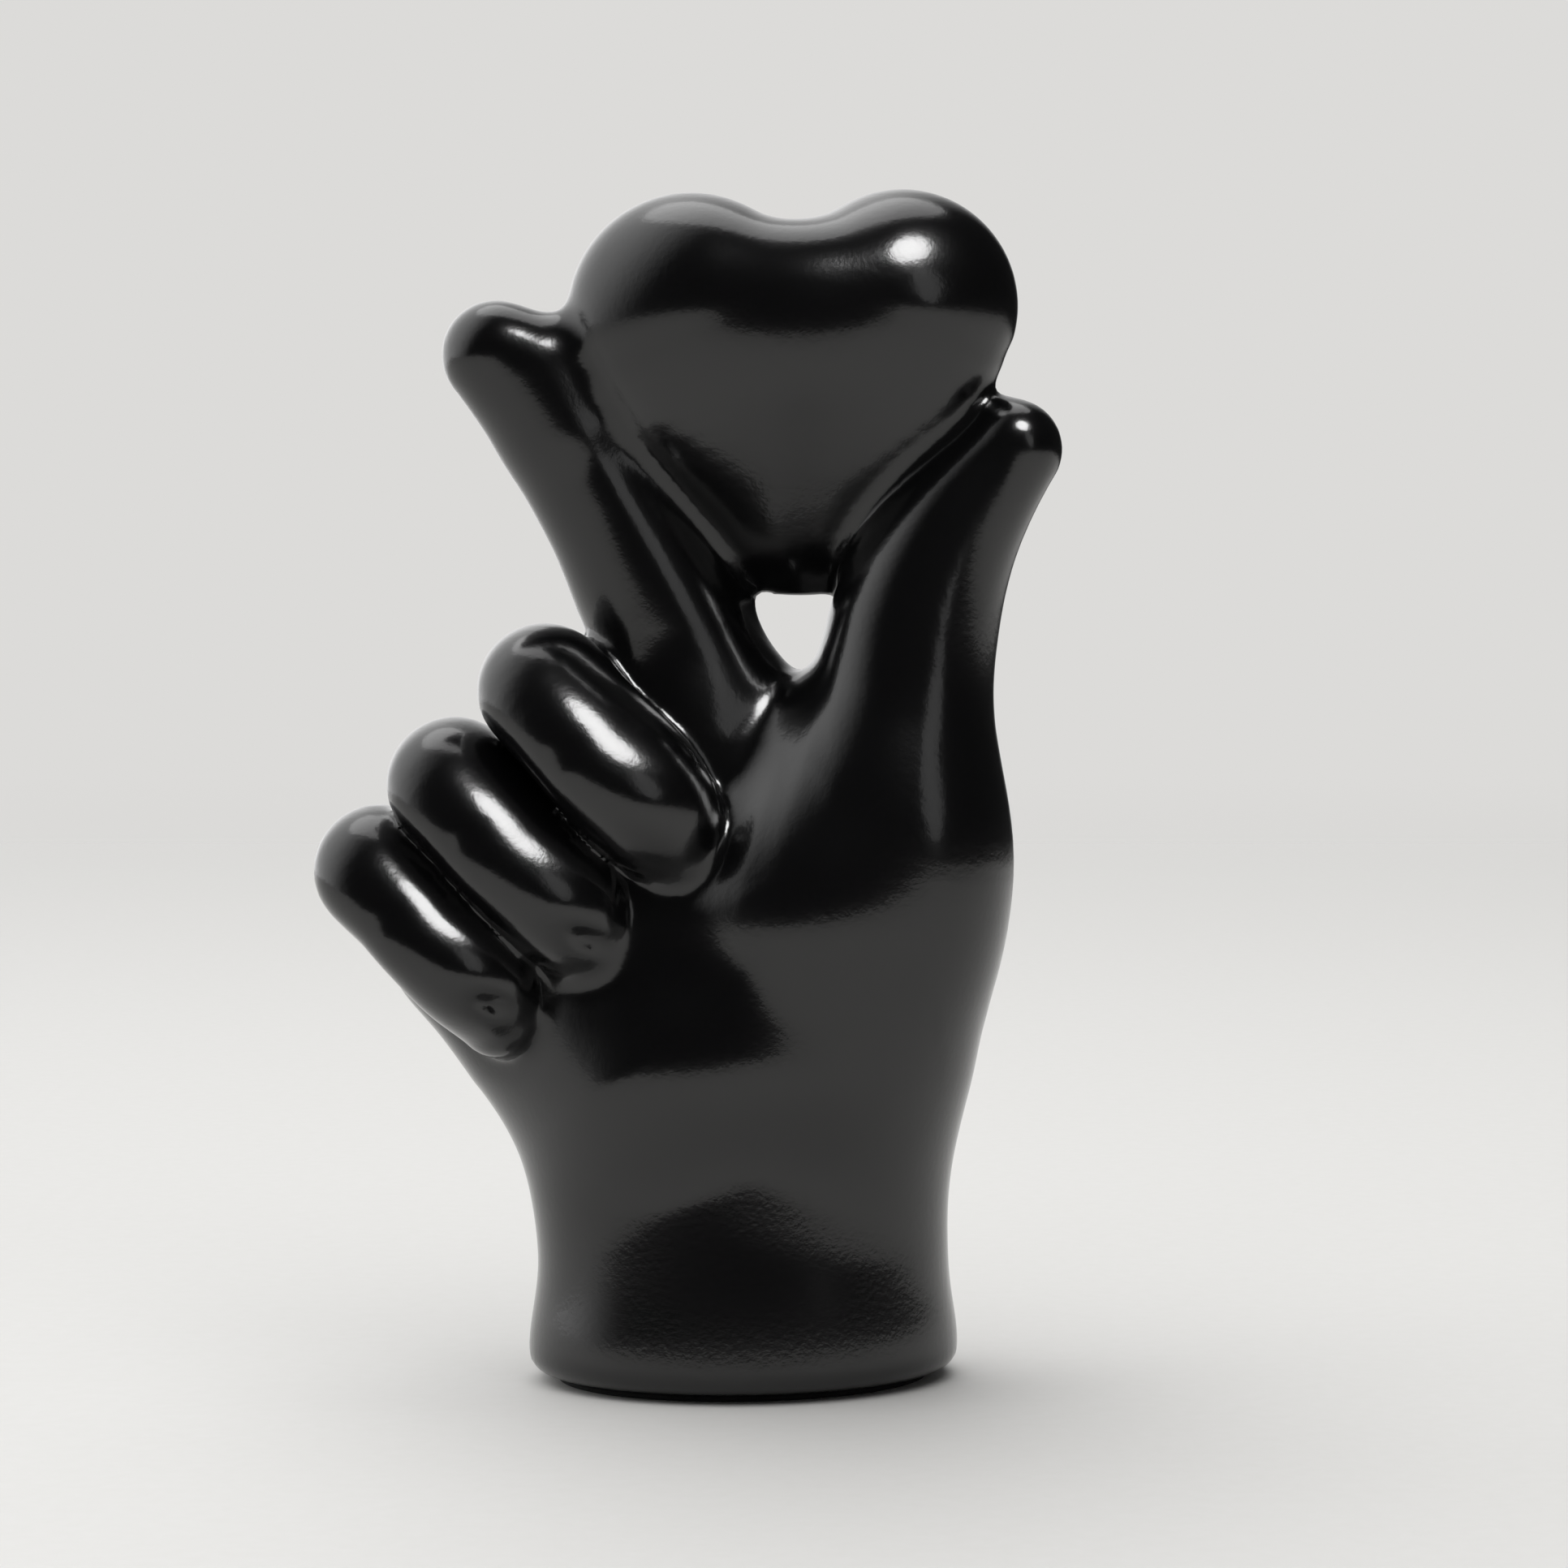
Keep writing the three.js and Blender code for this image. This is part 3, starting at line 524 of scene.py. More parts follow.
class Sculpture:
    """The whole hand as one field, with the fillets between the castings and the marks in the clay."""

    FOREFINGER_FILLET = 4.0
    HEART_FILLET = 4.5
    CREASE_FILLET = 3.1
    GROOVE_DEPTH = 0.55  # the sculptor's line along the creases of the curled fingers
    GROOVE_WIDTH = 2.0
    GROOVE_ENDS = -1.5  # how far to the right the line goes before it runs out in the web
    GROOVE_RUNS_OUT = 0.5
    STEEPEST = 30.0  # far from the line's end, keeps the exponential within what a number holds

    def __init__(self) -> None:
        """Models each casting's form."""
        self.palm = Palm.modelled()
        self.forefinger = Forefinger()
        self.heart = Heart()
        self.middle = Roll("middle", lifted(-29.7, -11.0, 0.5591), (9.2, 10.4, 8.6), 30.0)
        self.ring = Roll("ring", lifted(-43.3, -11.0, 0.4488), (9.1, 9.6, 7.9), 32.0)
        self.little = Roll("little", lifted(-54.6, -10.5, 0.3488), (8.5, 9.0, 7.5), 28.2)
        self.marks = (
            self.middle.wrinkle(9.0),
            self.ring.wrinkle(7.5),
            self.little.wrinkle(6.5),
            self.middle.swelling(),
            self.ring.swelling(),
            self.little.swelling(),
            # Two fills between the heart's lobes, and a flat on the right lobe
            Press(lifted(8.5, -14, 1.03), (1, 0, 0), (12.0, 8.0, 8.0), -1.2),
            Press(lifted(8.5, -14, 0.945), (1, 0, 0), (15.0, 9.0, 8.0), -1.8),
            Press(lifted(27.6, -14, 1.0634), (1, 0, 0), (7.0, 6.5, 8.0), 0.4),
            # Flesh at the root of the forefinger
            Press(lifted(-18.5, -4.5, 0.6017), (1, 0, 0), (5.0, 5.0, 6.0), -0.9),
            # Dimples at the tips of the ring finger and the little finger
            Press(lifted(-23.4, -19.5, 0.2764), (1, 0, -0.5), (3.4, 1.5, 6.0), 1.6),
            Press(lifted(-37.6, -18.5, 0.2004), (1, 0, -0.4), (3.1, 1.4, 6.0), 1.7),
        )

    def __call__(self, points: np.ndarray) -> np.ndarray:
        """Distance to the sculpture.

        Args:
            points: Where it is asked for.

        Returns:
            The distances, below zero inside.
        """
        form = smooth_union(self.palm(points), self.forefinger(points), self.FOREFINGER_FILLET)
        form = smooth_union(form, self.heart(points), self.HEART_FILLET)
        run_out = (points[:, 0] - self.GROOVE_ENDS) / self.GROOVE_RUNS_OUT
        line = self.GROOVE_DEPTH / (1 + np.exp(np.clip(run_out, -self.STEEPEST, self.STEEPEST)))
        for roll in (self.middle, self.ring, self.little):
            own = roll(points)
            groove = line * np.exp(-(((form - own) / self.GROOVE_WIDTH) ** 2))
            form = smooth_union(form, own, self.CREASE_FILLET) + groove
        for mark in self.marks:
            form = form + mark(points)
        return form

    def casting_at(self, points: np.ndarray) -> np.ndarray:
        """Which casting each point of the skin belongs to.

        Args:
            points: Where it is asked for.

        Returns:
            The castings, as indices into Casting.
        """
        castings = list(Casting)
        own = {
            Casting.PALM: self.palm(points),
            Casting.FOREFINGER: self.forefinger(points),
            Casting.MIDDLE: self.middle(points),
            Casting.RING: self.ring(points),
            Casting.LITTLE: self.little(points),
            Casting.HEART: self.heart(points),
        }
        order = np.array([castings.index(casting) for casting in own])
        nearest = order[np.argmin(np.array(list(own.values())), axis=0)]
        thumb = (nearest == castings.index(Casting.PALM)) & self.palm.on_thumb(points)
        nearest[thumb] = castings.index(Casting.THUMB)
        return nearest


# From field to skin

# A cell's corners, and its edges as pairs of corners
CORNERS = np.array([[i & 1, (i >> 1) & 1, i >> 2] for i in range(8)])
EDGES = [(m, m | 1 << axis) for axis in range(3) for m in range(8) if not m >> axis & 1]


def unit(vectors: np.ndarray) -> np.ndarray:
    """Vectors of the same directions, one long."""
    return vectors / np.maximum(np.linalg.norm(vectors, axis=1), TINY)[:, None]


@dataclass
class Skin:
    """A mesh of four-sided faces on a field's zero surface, in mm."""

    places: np.ndarray
    faces: np.ndarray
    normals: np.ndarray = field(init=False)

    HALVINGS = 3  # how many times the search for the surface halves its cells
    SMOOTHINGS = 10
    SMOOTHING_STEPS = (0.5, -0.53)  # towards the neighbours' mean, and back out
    EVENINGS = 2  # how many times the normals are evened

    @classmethod
    def of(cls, form: Field, low: np.ndarray, high: np.ndarray, cell: float) -> "Skin":
        """Finds a field's surface inside a box.

        Args:
            form: The field.
            low: The box's lowest corner.
            high: The box's highest corner.
            cell: Size of the faces.

        Returns:
            The smoothed skin.
        """
        coarse = cell * 2**cls.HALVINGS
        count = np.ceil((high - low) / coarse).astype(int)
        cells = np.stack(np.meshgrid(*[np.arange(n) for n in count], indexing="ij"), -1).reshape(-1, 3)
        for halving in range(cls.HALVINGS, 0, -1):
            size = cell * 2**halving
            cells = cells[np.abs(form(low + (cells + 0.5) * size)) < size]
            cells = (cells[:, None] * 2 + CORNERS[None]).reshape(-1, 3)
        skin = cls(*cls._net(form, low, cell, cells, count * 2**cls.HALVINGS))
        skin.smooth(cls.SMOOTHINGS)
        skin.find_normals()
        return skin

    @staticmethod
    def _net(
        form: Field, low: np.ndarray, cell: float, cells: np.ndarray, count: np.ndarray
    ) -> tuple[np.ndarray, np.ndarray]:
        """Puts one vertex in each cell that the surface crosses, and a face over each crossed grid edge.

        Args:
            form: The field.
            low: The grid's lowest corner.
            cell: Size of a cell.
            cells: The cells that the surface may cross.
            count: How many cells the grid has along each axis.

        Returns:
            The vertices' places and the faces.
        """
        stride = np.array([1, count[0] + 1, (count[0] + 1) * (count[1] + 1)])
        corner_ids = (cells[:, None] + CORNERS[None]) @ stride
        known = np.unique(corner_ids)
        grid = np.stack([known % stride[1], known % stride[2] // stride[1], known // stride[2]], -1)
        value = np.full(int(np.prod(count + 1)), np.inf)
        value[known] = form(low + grid * cell)
        at_corner = value[corner_ids]
        inside = at_corner < 0
        crossed = inside.any(1) & ~inside.all(1)
        cells, at_corner, inside = cells[crossed], at_corner[crossed], inside[crossed]
        total = np.zeros((len(cells), 3))
        hits = np.zeros(len(cells))
        for a, b in EDGES:
            cut = inside[:, a] != inside[:, b]
            t = at_corner[cut, a] / (at_corner[cut, a] - at_corner[cut, b])
            total[cut] += CORNERS[a] + t[:, None] * (CORNERS[b] - CORNERS[a])
            hits[cut] += 1
        places = low + (cells + total / hits[:, None]) * cell
        own = cells @ stride
        vertex_at = np.full(len(value), -1)
        vertex_at[own] = np.arange(len(cells))
        faces = []
        for axis in range(3):
            u, v = stride[(axis + 1) % 3], stride[(axis + 2) % 3]
            starts_inside = inside[:, 0]
            for wanted in (True, False):
                here = own[(starts_inside == wanted) & (inside[:, 1 << axis] != wanted)]
                ring = np.stack([here - u - v, here - v, here, here - u], -1)
                faces.append(vertex_at[ring if wanted else ring[:, ::-1]])
        joined = np.concatenate(faces)
        return places, joined[(joined >= 0).all(1)]

    def _neighbours_mean(self, values: np.ndarray) -> np.ndarray:
        """The mean of each vertex's neighbours.

        Args:
            values: A place or a direction for each vertex.

        Returns:
            The mean of these at its neighbours, for each vertex.
        """
        start = self.faces.ravel()
        end = np.roll(self.faces, -1, axis=1).ravel()
        count = np.bincount(start, minlength=len(values)) + np.bincount(end, minlength=len(values))
        total = [
            np.bincount(start, values[end, k], len(values)) + np.bincount(end, values[start, k], len(values))
            for k in range(3)
        ]
        return np.stack(total, -1) / np.maximum(count, 1)[:, None]

    def smooth(self, times: int) -> None:
        """Takes the grid's ripple out of the skin without shrinking it.

        Args:
            times: How many rounds it takes.
        """
        for _ in range(times):
            for share in self.SMOOTHING_STEPS:
                self.places = self.places + share * (self._neighbours_mean(self.places) - self.places)

    def find_normals(self) -> None:
        """Works out each vertex's normal, evened over its neighbours."""
        corners = self.places[self.faces]
        across = np.cross(corners[:, 2] - corners[:, 0], corners[:, 3] - corners[:, 1])
        normals = np.zeros_like(self.places)
        for k in range(3):
            normals[:, k] = np.bincount(
                self.faces.ravel(), np.repeat(across[:, k], 4), minlength=len(self.places)
            )
        for _ in range(self.EVENINGS):
            normals = unit(normals)
            normals = normals + self._neighbours_mean(normals)
        self.normals = unit(normals)

    def fit(self, low: np.ndarray, high: np.ndarray) -> None:
        """Draws the skin in until it fits a box, which takes off no more than the CAD solids' facets do.

        Args:
            low: The box's lowest corner.
            high: The box's highest corner.
        """
        own_low, own_high = self.places.min(0), self.places.max(0)
        share = np.minimum((high - low) / (own_high - own_low), 1)
        start = np.maximum(own_low, low)
        start = np.minimum(start, high - share * (own_high - own_low))
        self.places = start + (self.places - own_low) * share


# Meshes


def object_of(
    name: str, places: np.ndarray, faces: np.ndarray, normals: np.ndarray | None = None
) -> bpy.types.Object:
    """A smooth-shaded mesh object.

    Args:
        name: The piece's name.
        places: Vertices in mm.
        faces: Four-sided faces.
        normals: A normal for each face corner, or None to let the mesh find them.

    Returns:
        The object, linked to the scene.
    """
    mesh = bpy.data.meshes.new(name)
    mesh.vertices.add(len(places))
    mesh.vertices.foreach_set("co", (places * MM).astype(np.float32).ravel())
    mesh.loops.add(faces.size)
    mesh.loops.foreach_set("vertex_index", faces.astype(np.int32).ravel())
    mesh.polygons.add(len(faces))
    mesh.polygons.foreach_set("loop_start", np.arange(0, faces.size, 4, dtype=np.int32))
    mesh.update(calc_edges=True)
    mesh.shade_smooth()
    if normals is not None:
        mesh.normals_split_custom_set(normals.tolist())
    piece = bpy.data.objects.new(name, mesh)
    bpy.context.scene.collection.objects.link(piece)
    return piece


def open_edges(faces: np.ndarray) -> np.ndarray:
    """The edges that only one face has, in that face's direction.

    Args:
        faces: Four-sided faces.

    Returns:
        The two vertices of each edge.
    """
    start = faces.ravel()
    end = np.roll(faces, -1, axis=1).ravel()
    base = faces.max() + 1
    forward, backward = start * base + end, end * base + start
    alone = ~np.isin(forward, backward)
    return np.stack([start[alone], end[alone]], -1)


# Materials


def linear(code: str) -> tuple[float, float, float, float]:
    """Turns an sRGB hex colour to linear.

    Args:
        code: The colour, as a hash sign and six digits.

    Returns:
        Red, green, blue and alpha.
    """
    channels = [int(code[i : i + 2], 16) / 255 for i in (1, 3, 5)]
    turned = [c / 12.92 if c <= 0.04045 else ((c + 0.055) / 1.055) ** 2.4 for c in channels]
    return (*turned, 1.0)


def add_node(
    tree: bpy.types.NodeTree,
    kind: str,
    settings: dict[str, object] | None = None,
    inputs: dict[str | int, object] | None = None,
) -> bpy.types.Node:
    """Adds a node.

    Args:
        tree: The tree that it goes in.
        kind: Its type.
        settings: Its own properties.
        inputs: What goes into each socket: a value, or another node's output socket.

    Returns:
        The node.
    """
    node = tree.nodes.new(kind)
    for name, value in (settings or {}).items():
        setattr(node, name, value)
    for name, value in (inputs or {}).items():
        if isinstance(value, bpy.types.NodeSocket):
            tree.links.new(value, node.inputs[name])
        else:
            node.inputs[name].default_value = value
    return node


def new_tree(name: str) -> tuple[bpy.types.Material, bpy.types.NodeTree]:
    """A material with an empty node tree.

    Args:
        name: The material's name.

    Returns:
        The material and its tree.
    """
    material = bpy.data.materials.new(name)
    material.use_nodes = True
    material.node_tree.nodes.clear()
    return material, material.node_tree


@dataclass(frozen=True)
class BlackLacquer:
    """Gloss black lacquer, sprayed over cast resin and polished.

    A deep black body under a mirror-like film. The film has a faint orange peel, two or three mm from
    swell to swell, and a fine grain of overspray that breaks the edges of the highlights into specks.
    """

    colour: str = "#0b0b0c"
    ior: float = 1.5
    roughness: float = 0.19
    coat: float = 0.25
    coat_roughness: float = 0.08
    peel_mm: float = 2.6
    peel_depth_mm: float = 0.006
    grain_mm: float = 0.9  # real overspray is finer, and is drawn as coarse as it needs to show
    grain_depth_mm: float = 0.02

    def build(self) -> bpy.types.Material:
        """Makes the material.

        Returns:
            The material.
        """
        material, tree = new_tree("black_lacquered_resin")
        place = add_node(tree, "ShaderNodeTexCoord").outputs["Object"]
        peel = add_node(
            tree,
            "ShaderNodeTexNoise",
            inputs={"Vector": place, "Scale": 1 / (self.peel_mm * MM), "Detail": 1.0, "Roughness": 0.4},
        )
        grain = add_node(
            tree,
            "ShaderNodeTexNoise",
            inputs={"Vector": place, "Scale": 1 / (self.grain_mm * MM), "Detail": 2.0, "Roughness": 0.6},
        )
        peeled = add_node(
            tree,
            "ShaderNodeBump",
            inputs={"Height": peel.outputs["Fac"], "Distance": self.peel_depth_mm * MM, "Strength": 1.0},
        )
        grained = add_node(
            tree,
            "ShaderNodeBump",
            inputs={
                "Height": grain.outputs["Fac"],
                "Distance": self.grain_depth_mm * MM,
                "Strength": 1.0,
                "Normal": peeled.outputs["Normal"],
            },
        )
        shader = add_node(
            tree,
            "ShaderNodeBsdfPrincipled",
            inputs={
                "Base Color": linear(self.colour),
                "Roughness": self.roughness,
                "IOR": self.ior,
                "Coat Weight": self.coat,
                "Coat Roughness": self.coat_roughness,
                "Normal": grained.outputs["Normal"],
                "Coat Normal": grained.outputs["Normal"],
            },
        )
        add_node(tree, "ShaderNodeOutputMaterial", inputs={"Surface": shader.outputs["BSDF"]})
        return material


@dataclass(frozen=True)
class Mottled:
    """A matt or metal surface whose tone and height vary on one scale, for all that isn't lacquered."""

    name: str
    dark: str
    light: str
    metallic: float
    roughness: float
    grain_mm: float
    depth_mm: float

    def build(self) -> bpy.types.Material:
        """Makes the material.

        Returns:
            The material.
        """
        material, tree = new_tree(self.name)
        place = add_node(tree, "ShaderNodeTexCoord").outputs["Object"]
        noise = add_node(
            tree,
            "ShaderNodeTexNoise",
            inputs={"Vector": place, "Scale": 1 / (self.grain_mm * MM), "Detail": 4.0, "Roughness": 0.6},
        )
        tone = add_node(
            tree,
            "ShaderNodeMix",
            {"data_type": "RGBA"},
            {"Factor": noise.outputs["Fac"], 6: linear(self.dark), 7: linear(self.light)},
        )
        bump = add_node(
            tree,
            "ShaderNodeBump",
            inputs={"Height": noise.outputs["Fac"], "Distance": self.depth_mm * MM, "Strength": 1.0},
        )
        shader = add_node(
            tree,
            "ShaderNodeBsdfPrincipled",
            inputs={
                "Base Color": tone.outputs[2],
                "Metallic": self.metallic,
                "Roughness": self.roughness,
                "Normal": bump.outputs["Normal"],
            },
        )
        add_node(tree, "ShaderNodeOutputMaterial", inputs={"Surface": shader.outputs["BSDF"]})
        return material


# Ground steel: an even grey with fine grinding marks
DOWEL_STEEL = Mottled("ground_dowel_steel", "#8d9093", "#a9acaf", 1.0, 0.32, 0.6, 0.004)
# Iron-filled resin, poured: dark, dull and slightly grainy
FILLED_RESIN = Mottled("iron_filled_resin", "#343436", "#4a4a4c", 0.0, 0.62, 1.4, 0.03)
# Bare cast resin: an even dark grey with a dry surface
BARE_RESIN = Mottled("bare_cast_resin", "#242425", "#303031", 0.0, 0.7, 2.5, 0.01)
# Pressed wool felt: black, matt and fibrous
FELT = Mottled("pressed_wool_felt", "#0f0f10", "#222223", 0.0, 0.95, 0.35, 0.12)
# Plain painted board: pale and soft, with a faint tooth
FLOOR_BOARD = Mottled("painted_board", "#dfdedb", "#e4e3e1", 0.0, 0.75, 3.0, 0.02)


# Sub-assemblies


@dataclass
class LacqueredCastings:
    """The seven castings of the hand and the heart, each a shell of the one modelled skin."""

    cell: float = SKIN_CELL
    wall: float = 1.2
    margin: float = 3.0  # how far beyond the CAD the skin is looked for
    patch_reach: int = 50  # how many faces deep a stray bit of skin may be

    def build(self) -> list[bpy.types.Object]:
        """Models the skin, parts it at the seams and lacquers the pieces.

        Returns:
            One object for each casting.
        """
        sculpture = Sculpture()
        low, high = self._cad_box()
        skin = Skin.of(sculpture, low - self.margin, high + self.margin, self.cell)
        skin.fit(low, high)
        lacquer = BlackLacquer().build()
        middles = skin.places[skin.faces].mean(1)
        owner = self._whole_patches(skin.faces, sculpture.casting_at(middles))
        pieces = []
        for index, casting in enumerate(Casting):
            piece = self._shell(casting.value + "_casting", skin, skin.faces[owner == index])
            piece.data.materials.append(lacquer)
            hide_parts(casting.value)
            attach(piece, BODY)
            pieces.append(piece)
        return pieces

    def _whole_patches(self, faces: np.ndarray, owner: np.ndarray) -> np.ndarray:
        """Gives each stray bit of skin to the casting round it, so that every casting is one patch.

        Args:
            faces: The skin's faces.
            owner: The casting of each face, as an index into Casting.

        Returns:
            The casting of each face after that, or -1 for a bit that touches no casting.
        """
        edges = np.sort(np.stack([faces, np.roll(faces, -1, axis=1)], -1).reshape(-1, 2), axis=1)
        order = np.lexsort(edges.T)
        shared = (edges[order][1:] == edges[order][:-1]).all(1)
        face = np.repeat(np.arange(len(faces)), 4)[order]
        here, there = face[:-1][shared], face[1:][shared]
        alike = owner[here] == owner[there]
        patch = self._joined(len(faces), here[alike], there[alike])
        size = np.bincount(patch, minlength=len(faces))
        kept = np.full(len(faces), -1)
        for index in range(len(Casting)):
            own = patch[owner == index]
            kept[patch == own[np.argmax(size[own])]] = index
        for _ in range(self.patch_reach):
            for taker, giver in ((here, there), (there, here)):
                free = (kept[taker] < 0) & (kept[giver] >= 0)
                kept[taker[free]] = kept[giver[free]]
        return kept

    @staticmethod
    def _joined(count: int, first: np.ndarray, second: np.ndarray) -> np.ndarray:
        """Groups things that are joined in pairs.

        Args:
            count: How many things there are.
            first: One thing of each pair.
            second: The other.

        Returns:
            The lowest thing in each thing's group.
        """
        group = np.arange(count)
        while (group[first] != group[second]).any():
            lowest = np.minimum(group[first], group[second])
            parent = np.arange(count)
            np.minimum.at(parent, group[first], lowest)
            np.minimum.at(parent, group[second], lowest)
            while (parent[parent] != parent).any():
                parent = parent[parent]
            group = parent[group]
        return group

    @staticmethod
    def _cad_box() -> tuple[np.ndarray, np.ndarray]:
        """The box round the CAD castings.

        Returns:
            Its lowest and its highest corner, in mm.
        """
        boxes = [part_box(casting.value) for casting in Casting]
        low = np.min([np.array(b[0]) for b in boxes], axis=0)
        high = np.max([np.array(b[1]) for b in boxes], axis=0)
        return low / MM, high / MM

    def _shell(self, name: str, skin: Skin, faces: np.ndarray) -> bpy.types.Object:
        """Closes a patch of skin into a shell.

        Args:
            name: The piece's name.
            skin: The whole skin.
            faces: The patch's faces.

        Returns:
            The closed shell, whose outer side keeps the whole skin's normals.
        """
        used, local = np.unique(faces, return_inverse=True)
        outer = local.reshape(-1, 4)
        count = len(used)
        places, normals = skin.places[used], skin.normals[used]
        inner = outer[:, ::-1] + count
        rim = open_edges(outer)
        strip = np.stack([rim[:, 1], rim[:, 0], rim[:, 0] + count, rim[:, 1] + count], -1)
        everything = np.concatenate([outer, inner, strip])
        all_places = np.concatenate([places, places - self.wall * normals])
        corners = all_places[strip]
        flat = unit(np.cross(corners[:, 2] - corners[:, 0], corners[:, 3] - corners[:, 1]))
        both = np.concatenate([normals, -normals])
        loop_normals = np.concatenate([both[outer.ravel()], both[inner.ravel()], np.repeat(flat, 4, axis=0)])
        return object_of(name, all_places, everything, loop_normals)


@dataclass
class FootPad:
    """The oval felt pad under the foot, cut with a soft edge."""

    half_width: float = 28.3
    half_depth: float = 20.9
    thickness: float = 0.9
    turn: float = Palm.wrist_turn
    edge_share: float = 0.45  # how far the soft edge draws in, as a share of the thickness
    edge_bends: int = 7
    centre_share: float = 0.02  # the size of the first ring, as a share of the oval's
    around: int = 160
    rings: int = 14

    def build(self) -> bpy.types.Object:
        """Makes the pad.

        Returns:
            The pad.
        """
        angles = np.linspace(0, 2 * math.pi, self.around, endpoint=False)
        edge = self.thickness * self.edge_share
        bends = np.linspace(-math.pi / 2, math.pi / 2, self.edge_bends)
        rows = []
        for share in np.linspace(self.centre_share, 1, self.rings):
            rows.append(self._ring(angles, share, -edge, 0.0))
        for bend in bends[1:-1]:
            inset = edge * (math.cos(bend) - 1)
            height = self.thickness / 2 + (self.thickness / 2) * math.sin(bend)
            rows.append(self._ring(angles, 1.0, inset, height))
        for share in np.linspace(1, self.centre_share, self.rings):
            rows.append(self._ring(angles, share, -edge, self.thickness))
        places = np.concatenate(rows)
        faces = []
        for r in range(len(rows) - 1):
            a = r * self.around + np.arange(self.around)
            b = r * self.around + np.roll(np.arange(self.around), -1)
            faces.append(np.stack([a, a + self.around, b + self.around, b], -1))
        piece = object_of("foot_pad_felt", places, np.concatenate(faces))
        piece.data.materials.append(FELT.build())
        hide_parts("foot_pad")
        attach(piece, BODY)
        return piece

    def _ring(self, angles: np.ndarray, share: float, inset: float, height: float) -> np.ndarray:
        """A ring of points.

        Args:
            angles: Where its points are.
            share: Its size as a share of the oval's.
            inset: How far it is outside the oval, below zero inside.
            height: How high it lies.

        Returns:
            The points.
        """
        u = (self.half_width + inset) * share * np.cos(angles)
        v = (self.half_depth + inset) * share * np.sin(angles)
        x = u * math.cos(self.turn) - v * math.sin(self.turn)
        y = u * math.sin(self.turn) + v * math.cos(self.turn)
        return np.stack([x, y, np.full_like(x, height)], -1)


@dataclass
class InnerFittings:
    """What the castings hide: the dowels, the ballast and the closing plug, as the CAD has them."""

    pins: tuple[str, ...] = ("thumb_pin", "forefinger_pin", "heart_pin_forefinger", "heart_pin_thumb")

    def dress(self) -> list[bpy.types.Object]:
        """Gives each fitting its material.

        Returns:
            The fittings.
        """
        finishes = {name: DOWEL_STEEL for name in self.pins}
        finishes |= {"ballast": FILLED_RESIN, "base_plug": BARE_RESIN}
        made = {finish.name: finish.build() for finish in finishes.values()}
        fittings = []
        for name, finish in finishes.items():
            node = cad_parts[name]
            node.data.materials.clear()
            node.data.materials.append(made[finish.name])
            fittings.append(node)
        return fittings


# Studio


class Shape(Enum):
    """The outlines of a lamp's face."""

    RECTANGLE = "RECTANGLE"
    ELLIPSE = "ELLIPSE"


@dataclass(frozen=True)
class Softbox:
    """A lamp with a diffusing front."""

    name: str
    place: tuple[float, float, float]
    target: tuple[float, float, float]
    size: tuple[float, float]
    watts: float
    shape: Shape = Shape.RECTANGLE
    mirrored: bool = True  # whether the lacquer shows it
    lights: bool = True  # whether it lights matt surfaces

    def build(self) -> bpy.types.Object:
        """Hangs the lamp.

        Returns:
            The lamp.
        """
        data = bpy.data.lights.new(self.name, "AREA")
        data.shape = self.shape.value
        data.size, data.size_y = self.size
        data.energy = self.watts
        lamp = bpy.data.objects.new(self.name, data)
        lamp.visible_glossy = self.mirrored
        lamp.visible_diffuse = self.lights
        lamp.location = self.place
        aim = Vector(self.target) - Vector(self.place)
        lamp.rotation_euler = aim.to_track_quat("-Z", "Y").to_euler()
        bpy.context.scene.collection.objects.link(lamp)
        return lamp


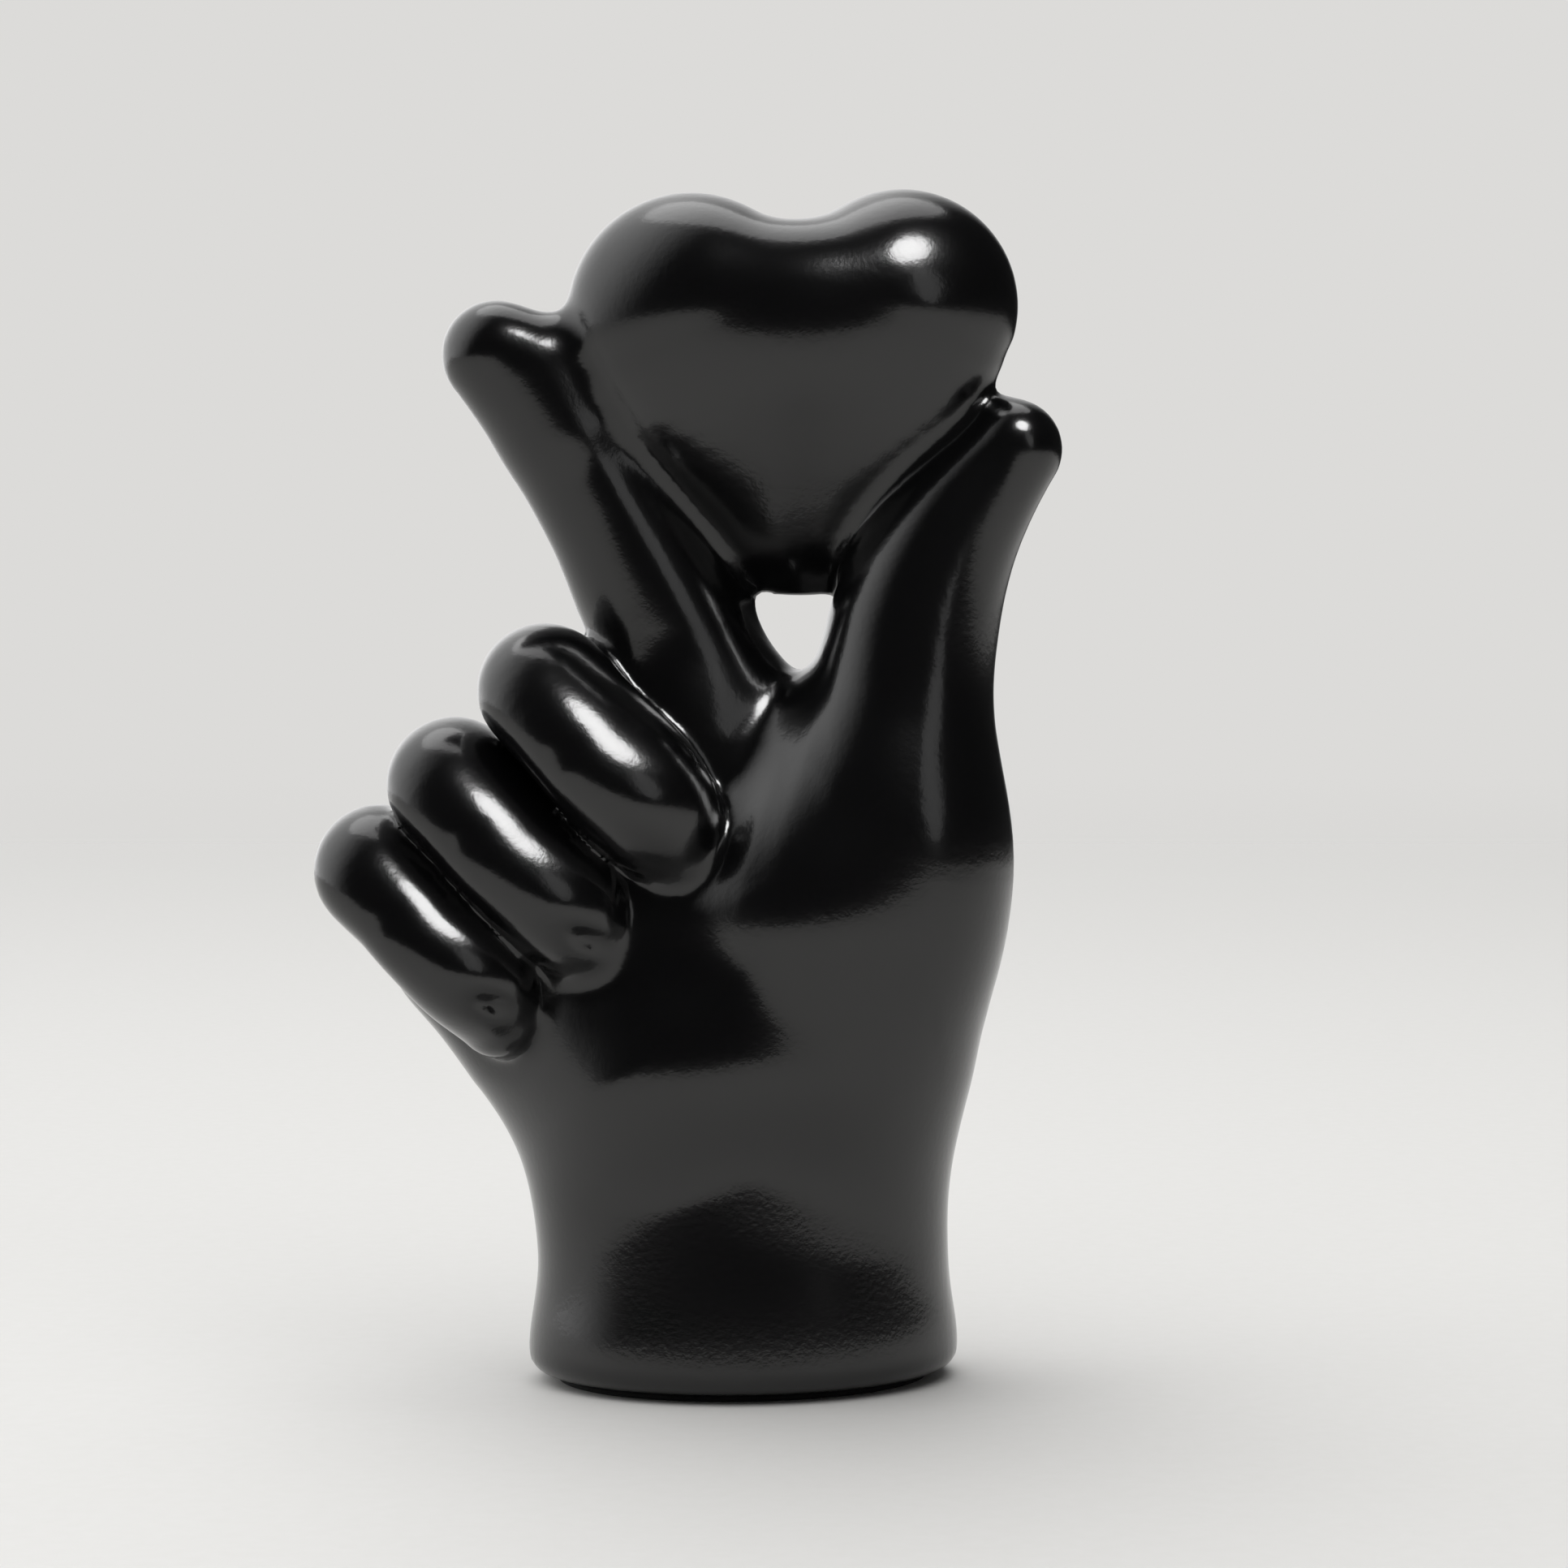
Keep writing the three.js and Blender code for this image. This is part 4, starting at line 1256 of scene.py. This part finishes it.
@dataclass
class Studio:
    """Pale floor, soft light and the camera."""

    camera_place: tuple[float, float, float] = (0.0062, -0.650, 0.129)
    camera_pitch: float = math.radians(3.41)
    lens: float = 98.76
    sensor: float = 36.0
    floor_half: float = 3.0
    floor_cells: int = 24
    fade_from: float = 0.25  # metres behind the object
    fade_to: float = 1.6
    backdrop: str = "#dcdbd9"
    pale_side: tuple[float, float, float] = (-1.3, 1.0, 0.7)  # at the left, behind and above
    pale_from: float = 0.4  # how nearly a direction has to point to the pale side for the room to brighten
    pale_to: float = 1.6
    dim_strength: float = 0.02
    pale_strength: float = 1.6

    def build(self) -> None:
        """Sets up everything that isn't the object."""
        self._floor()
        self._world()
        self._lamps()
        self._camera()
        bpy.context.scene.view_settings.view_transform = "Standard"

    def _floor(self) -> None:
        """Lays the floor, a sheet with a faint unevenness."""
        steps = np.linspace(-self.floor_half, self.floor_half, self.floor_cells + 1) / MM
        x, y = np.meshgrid(steps, steps, indexing="ij")
        places = np.stack([x.ravel(), y.ravel(), np.zeros(x.size)], -1)
        row = self.floor_cells + 1
        i, j = np.meshgrid(np.arange(self.floor_cells), np.arange(self.floor_cells), indexing="ij")
        corner = (i * row + j).ravel()
        faces = np.stack([corner, corner + row, corner + row + 1, corner + 1], -1)
        floor = object_of("floor", places, faces)
        floor.data.materials.append(self._faded(FLOOR_BOARD.build()))

    def _faded(self, material: bpy.types.Material) -> bpy.types.Material:
        """Lets the far end of the floor melt into the backdrop, so that no horizon cuts the picture.

        Args:
            material: The floor's material.

        Returns:
            The same material.
        """
        tree = material.node_tree
        output = next(node for node in tree.nodes if node.type == "OUTPUT_MATERIAL")
        shader = output.inputs["Surface"].links[0].from_socket
        place = add_node(tree, "ShaderNodeTexCoord").outputs["Object"]
        axes = add_node(tree, "ShaderNodeSeparateXYZ", inputs={"Vector": place})
        far = add_node(
            tree,
            "ShaderNodeMapRange",
            {"interpolation_type": "SMOOTHSTEP"},
            {"Value": axes.outputs["Y"], "From Min": self.fade_from, "From Max": self.fade_to},
        )
        clear = add_node(tree, "ShaderNodeBsdfTransparent")
        mix = add_node(
            tree, "ShaderNodeMixShader", inputs={0: far.outputs["Result"], 1: shader, 2: clear.outputs[0]}
        )
        tree.links.new(mix.outputs[0], output.inputs["Surface"])
        return material

    def _world(self) -> None:
        """A pale room behind the object and a dim one in front of it."""
        world = bpy.data.worlds.new("studio")
        bpy.context.scene.world = world
        world.use_nodes = True
        tree = world.node_tree
        tree.nodes.clear()
        direction = add_node(tree, "ShaderNodeTexCoord").outputs["Generated"]
        towards = add_node(
            tree,
            "ShaderNodeVectorMath",
            {"operation": "DOT_PRODUCT"},
            {0: direction, 1: self.pale_side},
        )
        ramp = add_node(
            tree,
            "ShaderNodeMapRange",
            {"interpolation_type": "SMOOTHSTEP"},
            {
                "Value": towards.outputs["Value"],
                "From Min": self.pale_from,
                "From Max": self.pale_to,
                "To Min": self.dim_strength,
                "To Max": self.pale_strength,
            },
        )
        path = add_node(tree, "ShaderNodeLightPath")
        lit = add_node(
            tree, "ShaderNodeBackground", inputs={"Color": (1, 1, 1, 1), "Strength": ramp.outputs["Result"]}
        )
        seen = add_node(
            tree, "ShaderNodeBackground", inputs={"Color": linear(self.backdrop), "Strength": 1.0}
        )
        mix = add_node(
            tree,
            "ShaderNodeMixShader",
            inputs={0: path.outputs["Is Camera Ray"], 1: lit.outputs[0], 2: seen.outputs[0]},
        )
        add_node(tree, "ShaderNodeOutputWorld", inputs={"Surface": mix.outputs[0]})

    def _lamps(self) -> None:
        """Hangs the lamps."""
        oval = Shape.ELLIPSE
        for lamp in (
            Softbox("ceiling", (0.0, -0.9, 2.2), (0, -0.3, 0.0), (2.6, 2.2), 26.0, mirrored=False),
            Softbox("behind", (0.0, 0.5, 1.6), (0, 0.1, 0.0), (1.5, 1.1), 7.0, oval),
            Softbox("window", (0.247, -0.321, 0.634), (0, 0, 0.15), (0.28, 0.25), 3.2, oval, lights=False),
            Softbox("right_strip", (0.78, -0.88, 0.55), (0, 0, 0.12), (0.4, 0.7), 0.5, oval),
        ):
            lamp.build()

    def _camera(self) -> None:
        """Stands the camera where the photograph was taken from."""
        data = bpy.data.cameras.new("camera")
        data.lens = self.lens
        data.sensor_width = self.sensor
        camera = bpy.data.objects.new("camera", data)
        turn = Matrix.Rotation(math.pi / 2 - self.camera_pitch, 4, "X")
        camera.matrix_world = Matrix.Translation(self.camera_place) @ turn
        bpy.context.scene.collection.objects.link(camera)
        bpy.context.scene.camera = camera


def main() -> None:
    """Builds the castings, the pad and the fittings, and sets up the studio."""
    logging.basicConfig(level=logging.INFO, format="%(message)s")
    for piece in LacqueredCastings().build():
        log.info("%s: %d faces", piece.name, len(piece.data.polygons))
    pad = FootPad().build()
    log.info("%s: %d faces", pad.name, len(pad.data.polygons))
    for fitting in InnerFittings().dress():
        log.info("%s: dressed", fitting.name)
    Studio().build()


if __name__ == "__main__":
    main()
